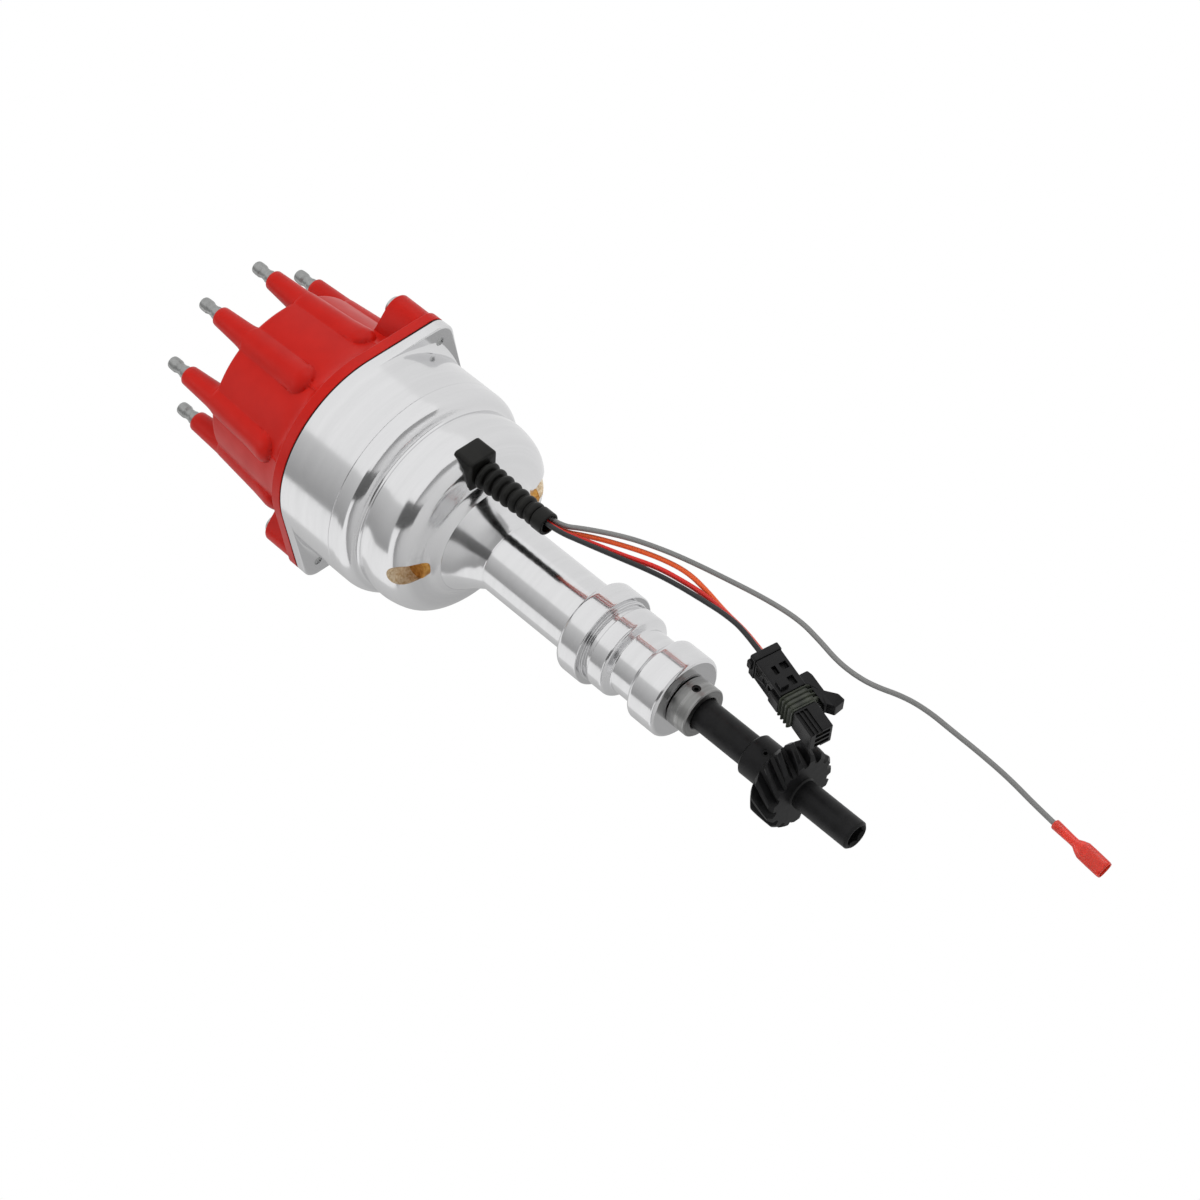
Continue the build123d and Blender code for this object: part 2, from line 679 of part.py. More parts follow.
# Collar that sets the shaft's end play, with its set screw
set_collar_top_z = neck_low_z - free_gap
set_screw_z = set_collar_top_z - set_collar_height * 0.52
with BuildPart() as set_collar:
    with BuildSketch(Plane.XY.offset(set_collar_top_z - set_collar_height)):
        Circle(set_collar_r)
        Circle(shaft_r, mode=Mode.SUBTRACT)
    extrude(amount=set_collar_height)
    rims = set_collar.edges().filter_by(GeomType.CIRCLE)
    chamfer(rims.filter_by(lambda e: e.radius > shaft_r + 1), 0.5)
    chamfer(set_collar.edges().filter_by(GeomType.CIRCLE).filter_by(
        lambda e: e.radius < shaft_r + 0.1).sort_by(Axis.Z)[0], 0.9)
    with BuildSketch(radial_plane(shaft_r - 0.5, set_screw_angle, set_screw_z)):
        Circle(set_screw_r)
    extrude(amount=set_collar_r, mode=Mode.SUBTRACT)
write("set_collar", set_collar)

with BuildPart() as collar_set_screw:
    with BuildSketch(radial_plane(shaft_r + 0.05, set_screw_angle, set_screw_z)):
        Circle(set_screw_r)
    extrude(amount=set_collar_r - shaft_r - 0.5)
    with BuildSketch(radial_plane(set_collar_r - 2.2, set_screw_angle, set_screw_z)):
        RegularPolygon(1.0, 6)
    extrude(amount=3, mode=Mode.SUBTRACT)
write("collar_set_screw", collar_set_screw)


# Magnetic pickup around the hub: base plate, ring magnet, coil and toothed pole piece
pickup_plate_top_z = floor_z + pickup_plate_thickness
with BuildPart() as pickup_plate:
    with BuildSketch(Plane.XY.offset(floor_z)):
        Circle(pickup_plate_r)
        Circle(hub_bore_r + 0.1, mode=Mode.SUBTRACT)
        with Locations(polar(boot_radius, boot_angle)[:2]):
            Circle(11, mode=Mode.SUBTRACT)
        for angle in vent_angles:
            with Locations(polar(vent_floor_radius, angle)[:2]):
                Circle(vent_passage_r + 1, mode=Mode.SUBTRACT)
    extrude(amount=pickup_plate_thickness)
write("pickup_plate", pickup_plate)

magnet_top_z = pickup_plate_top_z + magnet_height
with BuildPart() as pickup_magnet:
    with BuildSketch(Plane.XY.offset(pickup_plate_top_z)):
        Circle(magnet_out_r)
        Circle(magnet_in_r, mode=Mode.SUBTRACT)
        with Locations(polar(boot_radius, boot_angle)[:2]):
            Circle(11, mode=Mode.SUBTRACT)
    extrude(amount=magnet_height)
write("pickup_magnet", pickup_magnet)

coil_top_z = magnet_top_z + coil_height
with BuildPart() as pickup_coil:
    with BuildSketch(Plane.XZ):
        with Locations(((coil_in_r + coil_out_r) / 2, magnet_top_z + coil_height / 2)):
            RectangleRounded(coil_out_r - coil_in_r, coil_height, 1.0)
    revolve(axis=Axis.Z)
write("pickup_coil", pickup_coil)

pole_tip_r = reluctor_tip_r + pole_gap
pole_thickness = 2.0
with BuildPart() as pole_piece:
    with BuildSketch(Plane.XY.offset(coil_top_z)):
        Circle(magnet_out_r)
        Circle(pole_tip_r + 3.0, mode=Mode.SUBTRACT)
        with PolarLocations(pole_tip_r + 2.0, tower_count):
            Rectangle(4.6, 3.0)
        Circle(pole_tip_r, mode=Mode.SUBTRACT)
    extrude(amount=pole_thickness)
write("pole_piece", pole_piece)


# Trigger sleeve with the weight plate, weight pins and rotor posts, free to turn on the shaft
sleeve_low_z = hub_top_z + free_gap
plate_top_z = plate_z + plate_thickness
weight_low_z = plate_top_z + 0.2
pin_top_z = weight_low_z + weight_height + 4.0
weight_pin_angles = (90.0, 270.0)
rotor_post_angles = (0.0, 180.0)
with BuildPart() as trigger_sleeve:
    with BuildSketch(Plane.XY.offset(sleeve_low_z)):
        Circle(shaft_r + sleeve_wall)
    extrude(amount=plate_z - sleeve_low_z)
    with BuildSketch(Plane.XY.offset(plate_z)):
        Circle(plate_r)
    extrude(amount=plate_thickness)
    with BuildSketch(Plane.XY.offset(plate_top_z)):
        for angle in weight_pin_angles:
            with Locations(polar(weight_pin_circle_r, angle)[:2]):
                Circle(weight_pin_r)
    extrude(amount=pin_top_z - plate_top_z)
    with BuildSketch(Plane.XY.offset(plate_top_z)):
        for angle in rotor_post_angles:
            with Locations(polar(rotor_post_circle_r, angle)[:2]):
                Circle(rotor_post_r)
    extrude(amount=rotor_disc_z - plate_top_z)
    with BuildSketch(Plane.XY.offset(rotor_disc_z)):
        for angle in rotor_post_angles:
            with Locations(polar(rotor_post_circle_r, angle)[:2]):
                Circle(rotor_screw_r)
    extrude(amount=-8, mode=Mode.SUBTRACT)
    with BuildSketch(Plane.XY.offset(sleeve_low_z)):
        Circle(shaft_r + running_gap)
    extrude(amount=plate_top_z - sleeve_low_z, mode=Mode.SUBTRACT)
write("trigger_sleeve", trigger_sleeve)

reluctor_z = coil_top_z + pole_thickness / 2 - reluctor_height / 2
with BuildPart() as reluctor:
    with BuildSketch(Plane.XY.offset(reluctor_z)):
        Circle(reluctor_root_r)
        tooth_height = reluctor_tip_r - reluctor_root_r + 2
        with PolarLocations(reluctor_tip_r - tooth_height / 2, tower_count):
            Trapezoid(6.4, tooth_height, 78, rotation=-90)
        Circle(shaft_r + sleeve_wall, mode=Mode.SUBTRACT)
    extrude(amount=reluctor_height)
write("reluctor", reluctor)


# Advance: fixed cam on the shaft, two swinging weights and two springs
cam_low_z = plate_top_z + 0.3
with BuildPart() as centre_cam:
    with BuildSketch(Plane.XY.offset(cam_low_z)):
        Ellipse(cam_half_length + 3, cam_half_width + 1.5, rotation=cam_post_angle)
        Circle(shaft_r, mode=Mode.SUBTRACT)
    extrude(amount=weight_height)
    with BuildSketch(Plane.XY.offset(cam_low_z + weight_height)):
        for turn in (0, 180):
            with Locations(polar(cam_half_length, cam_post_angle + turn)[:2]):
                Circle(cam_post_r)
    extrude(amount=pin_top_z - cam_low_z - weight_height)
write("centre_cam", centre_cam)

weight_in_r = 17.5
weight_out_r = 28.0
for number, angle in enumerate(weight_pin_angles, start=1):
    with BuildPart() as advance_weight:
        with BuildSketch(Plane.XY.offset(weight_low_z).rotated((0, 0, angle - 90))):
            with BuildLine():
                CenterArc((0, 0), weight_out_r - 0.5, 24, 80)
                Line(polar(weight_out_r - 0.5, 104)[:2], polar(weight_in_r, 104)[:2])
                CenterArc((0, 0), weight_in_r, 24, 80)
                Line(polar(weight_in_r, 24)[:2], polar(weight_out_r - 0.5, 24)[:2])
            make_face()
            fillet(vertices(), 1.5)
            with Locations((0, weight_pin_circle_r)):
                Circle(weight_pin_r + 0.1, mode=Mode.SUBTRACT)
        extrude(amount=weight_height)
    write(f"advance_weight_{number}", advance_weight)

spring_z = weight_low_z + weight_height + 2.2
spring_hook_r = 2.5
spring_wire_r = 0.45
for number, angle in enumerate(weight_pin_angles, start=1):
    start = Vector(polar(weight_pin_circle_r, angle, spring_z))
    end = Vector(polar(cam_half_length, cam_post_angle + angle - 90, spring_z))
    along = (end - start).normalized()
    with BuildPart() as advance_spring:
        for post in (start, end):
            with Locations(post):
                Torus(spring_hook_r, spring_wire_r)
        with BuildSketch(Plane(origin=start + along * spring_hook_r, z_dir=along)):
            Circle(1.8)
            Circle(1.8 - spring_wire_r, mode=Mode.SUBTRACT)
        extrude(amount=(end - start).length - 2 * spring_hook_r)
    write(f"advance_spring_{number}", advance_spring)

with BuildPart() as retaining_clip:
    with BuildSketch(Plane.XY.offset(clip_groove_z + 0.1)):
        Circle(shaft_r + 2.2)
        Circle(shaft_r - 0.7, mode=Mode.SUBTRACT)
        with Locations((shaft_r + 1, 0)):
            Rectangle(8, 5, mode=Mode.SUBTRACT)
    extrude(amount=1.0)
write("retaining_clip", retaining_clip)


# Rotor: disc on the two posts, a hollow column and the arm that carries the blade
rotor_top_z = rotor_blade_z
blade_tip_r = tower_circle_r - contact_r - rotor_blade_gap
rotor_floor_z = rotor_disc_z + rotor_disc_thickness
rotor_cone_top_z = rotor_floor_z + rotor_cone_height
rotor_arm_low_z = rotor_top_z - rotor_arm_depth
rotor_arm_end_r = blade_tip_r - 3.0
with BuildPart() as rotor:
    with BuildSketch(Plane.XY.offset(rotor_disc_z)):
        Circle(rotor_disc_r)
    extrude(amount=rotor_disc_thickness)
    with BuildSketch(Plane.XY.offset(rotor_floor_z)):
        Circle(rotor_column_r + 6)
    with BuildSketch(Plane.XY.offset(rotor_cone_top_z)):
        Circle(rotor_column_r)
    loft()
    with BuildSketch(Plane.XY.offset(rotor_cone_top_z)):
        Circle(rotor_column_r)
    extrude(amount=rotor_top_z - rotor_cone_top_z)
    with BuildSketch(Plane.XZ.offset(-blade_width / 2 - 1)):
        with BuildLine():
            Polyline((0, rotor_arm_low_z), (rotor_column_r, rotor_arm_low_z),
                     (rotor_arm_end_r, rotor_top_z - 5), (rotor_arm_end_r, rotor_top_z),
                     (0, rotor_top_z), close=True)
        make_face()
    extrude(amount=blade_width + 2)
    with BuildSketch(Plane.XY.offset(rotor_disc_z)):
        Circle(rotor_column_r - 1.5)
    extrude(amount=rotor_top_z - rotor_disc_z - 5, mode=Mode.SUBTRACT)
    with BuildSketch(Plane.XY.offset(rotor_disc_z)):
        for angle in rotor_post_angles:
            with Locations(polar(rotor_post_circle_r, angle)[:2]):
                Circle(rotor_screw_r)
    extrude(amount=rotor_disc_thickness, mode=Mode.SUBTRACT)
write("rotor", rotor)

with BuildPart() as rotor_blade:
    with BuildSketch(Plane.XY.offset(rotor_top_z)):
        with Locations((-4, 0)):
            Rectangle(blade_tip_r + 2, blade_width, align=(Align.MIN, Align.CENTER))
        Circle(blade_tip_r, mode=Mode.INTERSECT)
    extrude(amount=rotor_blade_thickness)
write("rotor_blade", rotor_blade)

with BuildPart() as rotor_screws:
    with BuildSketch(Plane.XY.offset(rotor_disc_z - 6)):
        for angle in rotor_post_angles:
            with Locations(polar(rotor_post_circle_r, angle)[:2]):
                Circle(rotor_screw_r)
    extrude(amount=6 + rotor_disc_thickness)
    with BuildSketch(Plane.XY.offset(rotor_floor_z)):
        for angle in rotor_post_angles:
            with Locations(polar(rotor_post_circle_r, angle)[:2]):
                Circle(3.2)
    extrude(amount=2.2)
write("rotor_screws", rotor_screws)


# Ignition module on the bowl's floor beside the pickup, over the lead boot
module_low_z = slot_top_z + 0.5
module_height = 11.0
module_out_r = bowl_bore_r - 1.6
module_in_r = magnet_out_r + 0.6
module_half_angle = 26.0
module_start = boot_angle - module_half_angle
module_end = boot_angle + module_half_angle
with BuildPart() as ignition_module:
    with BuildSketch(Plane.XY.offset(module_low_z)):
        with BuildLine():
            CenterArc((0, 0), module_out_r, module_start, 2 * module_half_angle)
            Line(polar(module_out_r, module_end)[:2], polar(module_in_r, module_end)[:2])
            CenterArc((0, 0), module_in_r, module_start, 2 * module_half_angle)
            Line(polar(module_in_r, module_start)[:2], polar(module_out_r, module_start)[:2])
        make_face()
    extrude(amount=module_height)
    fillet(ignition_module.edges().filter_by(Axis.Z), 1.2)
write("ignition_module", ignition_module)


# Rubber boot: a block in the bowl's slot, rounded ribs and an end collar round the leads
boot_centre = polar(boot_radius, boot_angle)
rib_top = boot_block_low_z
rib_pitch = (rib_top - boot_end_z - boot_collar_length) / boot_ribs
block_plane = Plane(origin=polar(boot_radius, boot_angle, boot_block_low_z), x_dir=polar(1, boot_angle))
with BuildPart() as wire_boot:
    with BuildSketch(block_plane):
        RectangleRounded(boot_block, boot_block, 1.5)
    extrude(amount=slot_top_z - 0.4 - boot_block_low_z)
    with BuildSketch(section_plane(boot_radius, boot_angle)):
        with Locations((0, boot_end_z)):
            Rectangle(boot_core_r, rib_top - boot_end_z, align=(Align.MIN, Align.MIN))
            Rectangle(boot_collar_r, boot_collar_length, align=(Align.MIN, Align.MIN))
        for i in range(boot_ribs):
            rib_r = boot_first_rib_r + (boot_last_rib_r - boot_first_rib_r) * i / (boot_ribs - 1)
            half = rib_pitch * 0.34
            with Locations((0, rib_top - rib_pitch * (i + 0.5))):
                Rectangle(rib_r - half, 2 * half, align=(Align.MIN, Align.CENTER))
            with Locations((rib_r - half, rib_top - rib_pitch * (i + 0.5))):
                Circle(half)
    revolve(axis=Axis(boot_centre, (0, 0, 1)))
    with BuildSketch(Plane(origin=polar(boot_radius, boot_angle, boot_end_z))):
        Circle(boot_bore_r)
    extrude(amount=boot_bore_depth, mode=Mode.SUBTRACT)
write("wire_boot", wire_boot)


# The harness hangs in an upright plane: p runs across it, depth towards the viewer and z up
harness_turn = 17.5


def harness(p, depth, z):
    turn = math.radians(harness_turn)
    x = p * math.cos(turn) + depth * math.sin(turn)
    y = p * math.sin(turn) - depth * math.cos(turn)
    return Vector(x, y, z)


across = harness(1, 0, 0)
harness_depth = 29.0

# Connector: rear cover, body with its latch, ribbed seal and the plug tower
connector_rear = harness(31.8, harness_depth, -66.2)
connector_tip = harness(21.4, harness_depth, -105.7)
connector_axis = (connector_tip - connector_rear).normalized()
connector_side = (across - connector_axis * across.dot(connector_axis)).normalized()
connector_plane = Plane(origin=connector_rear, x_dir=connector_side, z_dir=connector_axis)
connector_width = 10.9
connector_depth = 12.4
cover_length = 3.2
body_length = 19.6
seal_length = 7.4
tower_length = 13.6
tower_width = 10.4
seal_width = 13.5
cavity_pitch = 3.2
cavity_r = 1.15
cavity_depth = 5.0
cavity_offsets = (-cavity_pitch, 0.0, cavity_pitch)
body_end = cover_length + body_length
tower_end = body_end + seal_length + tower_length
with BuildPart() as connector_body:
    with BuildSketch(connector_plane.offset(cover_length)):
        RectangleRounded(connector_width, connector_depth, 0.8)
    extrude(amount=body_length)
    with BuildSketch(connector_plane.offset(body_end)):
        RectangleRounded(connector_width - 1.6, connector_depth - 1.6, 1.2)
    extrude(amount=seal_length)
    with BuildSketch(connector_plane.offset(body_end + seal_length)):
        RectangleRounded(tower_width, connector_depth - 1.0, 0.8)
    extrude(amount=tower_length)
    with BuildSketch(connector_plane.offset(tower_end)):
        with GridLocations(0, cavity_pitch, 1, 3):
            Rectangle(tower_width - 3.2, cavity_pitch - 1.0)
    extrude(amount=-9, mode=Mode.SUBTRACT)
    with BuildSketch(connector_plane.offset(cover_length)):
        with Locations(*[(0, offset) for offset in cavity_offsets]):
            Circle(cavity_r)
    extrude(amount=cavity_depth, mode=Mode.SUBTRACT)
    # Latch arm along the right side, rising to its thumb flare
    latch_plane = Plane(origin=connector_rear, x_dir=connector_side, z_dir=-connector_plane.y_dir)
    latch_width = 6.4
    latch_start = 16.5
    side = connector_width / 2
    with BuildSketch(latch_plane.offset(-latch_width / 2)):
        with BuildLine():
            Polyline((side - 0.5, latch_start), (side + 3.0, latch_start), (side + 4.5, latch_start + 2.5),
                     (side + 4.5, latch_start + 10.6), (side + 9.0, latch_start + 15.0),
                     (side + 8.0, latch_start + 18.3), (side + 3.0, latch_start + 14.5),
                     (side + 2.6, latch_start + 4.0), (side - 0.5, latch_start + 4.0), close=True)
        make_face()
    extrude(amount=latch_width)
write("connector_body", connector_body)

with BuildPart() as connector_lock:
    with BuildSketch(connector_plane):
        RectangleRounded(connector_width + 0.8, connector_depth + 0.8, 1.0)
    extrude(amount=cover_length)
    with BuildSketch(connector_plane):
        with Locations(*[(0, offset) for offset in cavity_offsets]):
            Circle(cavity_r)
    extrude(amount=cover_length, mode=Mode.SUBTRACT)
write("connector_lock", connector_lock)

with BuildPart() as connector_seal:
    with BuildSketch(connector_plane.offset(body_end)):
        RectangleRounded(seal_width - 1.6, connector_depth, 2.0)
    extrude(amount=seal_length)
    for i in range(4):
        with BuildSketch(connector_plane.offset(body_end + seal_length * (i + 0.28) / 4)):
            RectangleRounded(seal_width, connector_depth + 1.2, 2.4)
        extrude(amount=seal_length * 0.11)
    with BuildSketch(connector_plane.offset(body_end)):
        RectangleRounded(connector_width - 1.6, connector_depth - 1.6, 1.2)
    extrude(amount=seal_length, mode=Mode.SUBTRACT)
write("connector_seal", connector_seal)

with BuildPart() as connector_terminals:
    with BuildSketch(connector_plane.offset(tower_end - 9)):
        with Locations(*[(0, offset) for offset in cavity_offsets]):
            Rectangle(2.4, 1.4)
    extrude(amount=7.4)
write("connector_terminals", connector_terminals)

# Push-on terminal at the grey lead's end, in its insulating sleeve
spade_start = harness(48.1, harness_depth, -198.4)
spade_axis = (harness(-0.09, 0, -1) - Vector(0, 0, 0)).normalized()
spade_side = (across - spade_axis * across.dot(spade_axis)).normalized()
spade_plane = Plane(origin=spade_start, x_dir=spade_side, z_dir=spade_axis)
spade_length = 25.3
spade_barrel_r = 1.9
spade_waist_z = 10.8
spade_width = 7.0
spade_height = 4.4
with BuildPart() as spade_sleeve:
    with BuildSketch(spade_plane):
        Circle(spade_barrel_r)
    with BuildSketch(spade_plane.offset(spade_waist_z)):
        Circle(spade_barrel_r * 0.85)
    loft(ruled=True)
    with BuildSketch(spade_plane.offset(spade_waist_z)):
        Circle(spade_barrel_r * 0.85)
    with BuildSketch(spade_plane.offset(spade_waist_z + 4.4)):
        Ellipse(spade_width / 2, spade_height / 2)
    loft(ruled=True)
    with BuildSketch(spade_plane.offset(spade_waist_z + 4.4)):
        Ellipse(spade_width / 2, spade_height / 2)
    extrude(amount=spade_length - spade_waist_z - 4.4)
    with BuildSketch(spade_plane.offset(spade_length)):
        Ellipse(spade_width / 2 - 0.6, spade_height / 2 - 0.6)
    extrude(amount=-9, mode=Mode.SUBTRACT)
    with BuildSketch(spade_plane):
        Circle(lead_r)
    extrude(amount=lead_tail, mode=Mode.SUBTRACT)
write("spade_sleeve", spade_sleeve)

with BuildPart() as spade_terminal:
    with BuildSketch(spade_plane.offset(spade_length - 9)):
        Rectangle(4.6, 1.8)
        Rectangle(3.8, 0.8, mode=Mode.SUBTRACT)
    extrude(amount=8.0)
write("spade_terminal", spade_terminal)


# Leads: straight runs joined by arcs, from the boot's bore to what each one ends in
boot_p = boot_centre[0] * math.cos(math.radians(harness_turn)) + boot_centre[1] * math.sin(
    math.radians(harness_turn))
boot_depth = boot_centre[0] * math.sin(math.radians(harness_turn)) - boot_centre[1] * math.cos(
    math.radians(harness_turn))
lead_top_z = boot_end_z + boot_bore_depth


def cavity_point(offset, along):
    return connector_rear + connector_plane.y_dir * offset + connector_axis * along


def lead(name, points):
    radii = []
    for before, here, after in zip(points, points[1:], points[2:]):
        turn = math.radians((here - before).get_angle(after - here))
        shorter = min((here - before).length, (after - here).length)
        radii.append(0.45 * shorter / math.tan(turn / 2))
    with BuildPart() as tube:
        with BuildLine() as path:
            FilletPolyline(*points, radius=radii)
        with BuildSketch(Plane(origin=path.line @ 0, z_dir=path.line % 0)):
            Circle(lead_r)
        sweep()
    length = sum(edge.length for edge in path.edges())
    volume_share = tube.part.volume / (math.pi * lead_r**2 * length)
    print(name, "length", round(length, 1), "volume share", round(volume_share, 4),
          "least radius", round(min(radii), 1))
    write(name, tube)


lead("lead_grey", [
    harness(boot_p + 2.3, boot_depth - 0.9, lead_top_z),
    harness(boot_p + 2.3, boot_depth - 0.9, 35.0),
    harness(27.3, harness_depth - 0.2, 25.2),
    harness(34.3, harness_depth, 9.5),
    harness(38.4, harness_depth, -3.4),
    harness(41.8, harness_depth, -16.8),
    harness(45.3, harness_depth, -35.2),
    harness(48.6, harness_depth, -54.4),
    harness(50.0, harness_depth, -70.4),
    harness(48.5, harness_depth, -82.2),
    harness(46.6, harness_depth, -92.4),
    harness(46.4, harness_depth, -101.5),
    harness(47.5, harness_depth, -110.6),
    harness(51.2, harness_depth, -122.8),
    harness(52.4, harness_depth, -134.0),
    harness(52.0, harness_depth, -146.4),
    harness(51.8, harness_depth, -158.7),
    harness(51.0, harness_depth, -173.9),
    spade_start + harness(0.8, 0, 9.0),
    spade_start + spade_axis * lead_tail,
])
lead("lead_orange", [
    harness(boot_p + 0.5, boot_depth - 2.3, lead_top_z),
    harness(boot_p + 0.5, boot_depth - 2.3, 34.5),
    harness(26.6, 27.0, 21.5),
    harness(32.6, 27.0, 5.0),
    harness(36.5, 27.0, -8.3),
    harness(38.5, 27.0, -20.5),
    harness(37.3, 26.9, -32.0),
    harness(35.2, 26.3, -43.0),
    cavity_point(-cavity_pitch, -9),
    cavity_point(-cavity_pitch, cover_length + cavity_depth),
])
lead("lead_red", [
    harness(boot_p + 0.2, boot_depth + 0.1, lead_top_z),
    harness(boot_p + 0.2, boot_depth + 0.1, 34.0),
    harness(24.0, 29.3, 20.6),
    harness(28.2, 29.3, 4.6),
    harness(32.7, 29.3, -9.6),
    harness(34.5, 29.3, -21.6),
    harness(35.6, 29.3, -33.0),
    harness(35.0, 29.1, -44.0),
    cavity_point(0, -9),
    cavity_point(0, cover_length + cavity_depth),
])
lead("lead_black", [
    harness(boot_p - 0.3, boot_depth + 2.4, lead_top_z),
    harness(boot_p - 0.3, boot_depth + 2.4, 34.0),
    harness(23.0, 31.6, 19.0),
    harness(26.6, 31.6, 4.0),
    harness(30.0, 31.6, -10.0),
    harness(32.1, 31.6, -22.0),
    harness(33.6, 31.7, -36.0),
    harness(34.5, 32.0, -46.5),
    cavity_point(cavity_pitch, -9),
    cavity_point(cavity_pitch, cover_length + cavity_depth),
])
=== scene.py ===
import math

import bmesh
import bpy
import numpy as np
from mathutils import Matrix, Vector


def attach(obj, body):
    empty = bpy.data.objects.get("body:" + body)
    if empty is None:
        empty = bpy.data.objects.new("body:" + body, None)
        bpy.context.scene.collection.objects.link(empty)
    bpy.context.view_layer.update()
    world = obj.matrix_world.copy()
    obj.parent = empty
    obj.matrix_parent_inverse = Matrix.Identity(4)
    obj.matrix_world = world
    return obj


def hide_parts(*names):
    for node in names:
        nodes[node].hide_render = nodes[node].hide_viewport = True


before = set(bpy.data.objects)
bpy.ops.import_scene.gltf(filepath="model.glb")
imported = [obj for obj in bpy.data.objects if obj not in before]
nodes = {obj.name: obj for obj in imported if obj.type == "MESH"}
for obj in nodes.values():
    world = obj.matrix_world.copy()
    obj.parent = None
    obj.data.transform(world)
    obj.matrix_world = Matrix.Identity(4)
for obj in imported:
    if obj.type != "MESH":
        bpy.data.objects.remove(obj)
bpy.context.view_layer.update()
millimetre = 0.001
print("frame loaded:", len(nodes), "nodes")


def linked(name, data):
    # a new object, put into the scene
    added = bpy.data.objects.new(name, data)
    bpy.context.collection.objects.link(added)
    return added


# camera, at the photograph's viewing angle
view = {
    "place": (0.3652, -1.1268, -0.6026),
    "right": (0.4861816, 0.5326045, -0.6927914),
    "up": (0.8321771, -0.0402614, 0.5530463),
    "back": (0.2666622, -0.8454061, -0.4627957),
    "lens": 102.0,
}
cameraData = bpy.data.cameras.new("camera")
cameraData.lens = view["lens"]
cameraData.sensor_width = 36.0
cameraData.clip_end = 20.0
camera = linked("camera", cameraData)
turned = Matrix((view["right"], view["up"], view["back"])).transposed().to_4x4()
camera.matrix_world = Matrix.Translation(view["place"]) @ turned
bpy.context.scene.camera = camera
print("camera placed")


# materials
def hexColour(code):
    # sRGB to linear: c / 12.92 up to 0.04045, and ((c + 0.055) / 1.055) ** 2.4 above it
    channels = np.array([int(code[i:i + 2], 16) for i in (1, 3, 5)]) / 255
    linear = np.where(channels <= 0.04045, channels / 12.92, ((channels + 0.055) / 1.055) ** 2.4)
    return (*linear.tolist(), 1.0)


def addNode(tree, kind, options=None, inputs=None):
    # options are the node's own settings; an input is a value, or a socket to link from
    added = tree.nodes.new("ShaderNode" + kind)
    for option, value in (options or {}).items():
        setattr(added, option, value)
    for socket, value in (inputs or {}).items():
        if isinstance(value, bpy.types.NodeSocket):
            tree.links.new(value, added.inputs[socket])
        else:
            added.inputs[socket].default_value = value
    return added


def surface(name, look):
    # Fine and broad noise move the colour between two tones, the roughness between two values,
    # and the height by a few micrometres. The two sizes, fine and broad, are in millimetres.
    material = bpy.data.materials.new(name)
    material.use_nodes = True
    tree = material.node_tree
    tree.nodes.clear()
    place = addNode(tree, "TexCoord").outputs["Object"]
    grain = look.get("grain", "moulded")
    if grain == "turned":
        # lathe marks: the pattern reads the radius and the height, and drifts slowly round the axis
        apart = addNode(tree, "SeparateXYZ", inputs={0: place})
        flat = addNode(tree, "VectorMath", {"operation": "MULTIPLY"},
                       {0: place, 1: (1.0, 1.0, 0.0)})
        radius = addNode(tree, "VectorMath", {"operation": "LENGTH"}, {0: flat.outputs[0]})
        drift = addNode(tree, "Math", {"operation": "MULTIPLY"}, {0: apart.outputs[0], 1: 0.02})
        lines = addNode(tree, "CombineXYZ", inputs={
            0: radius.outputs["Value"], 1: drift.outputs[0], 2: apart.outputs[2]})
        pattern = lines.outputs[0]
    elif grain == "drawn":
        # drawn along the axis: the pattern is long in z
        drawn = addNode(tree, "Mapping", inputs={"Vector": place, "Scale": (1.0, 1.0, 0.06)})
        pattern = drawn.outputs[0]
    else:
        pattern = place
    fine = addNode(tree, "TexNoise", inputs={
        "Vector": pattern, "Scale": 1 / (look["sizes"][0] * millimetre), "Detail": 3.0, "Roughness": 0.6})
    broad = addNode(tree, "TexNoise", inputs={
        "Vector": pattern, "Scale": 1 / (look["sizes"][1] * millimetre), "Detail": 2.0, "Roughness": 0.5})
    share = look.get("fineShare", 0.5)
    blend = addNode(tree, "Math", {"operation": "MULTIPLY_ADD"}, {
        0: fine.outputs[0], 1: share, 2: -share / 2})
    tone = addNode(tree, "Math", {"operation": "ADD", "use_clamp": True}, {
        0: broad.outputs[0], 1: blend.outputs[0]})
    # noise seldom leaves the middle of its range, so that part is spread over the whole
    reading = {"Value": tone.outputs[0], "From Min": 0.3, "From Max": 0.7}
    spread = addNode(tree, "MapRange", inputs=reading)
    colour = addNode(tree, "Mix", {"data_type": "RGBA"}, {
        0: spread.outputs[0], 6: hexColour(look["tones"][0]), 7: hexColour(look["tones"][1])})
    rough = addNode(tree, "MapRange", inputs={
        **reading, "To Min": look["roughness"][0], "To Max": look["roughness"][1]})
    bump = addNode(tree, "Bump", inputs={
        "Height": fine.outputs[0], "Strength": look.get("strength", 0.3),
        "Distance": look["depth"] * millimetre})
    shader = addNode(tree, "BsdfPrincipled", inputs={
        "Base Color": colour.outputs[2], "Roughness": rough.outputs[0], "Normal": bump.outputs[0],
        "Specular IOR Level": look.get("specular", 0.5), **look.get("shader", {})})
    if look.get("brushed"):
        tangent = addNode(tree, "Tangent", {"direction_type": "RADIAL", "axis": "Z"})
        tree.links.new(tangent.outputs[0], shader.inputs["Tangent"])
    ending = addNode(tree, "OutputMaterial")
    tree.links.new(shader.outputs[0], ending.inputs[0])
    return material


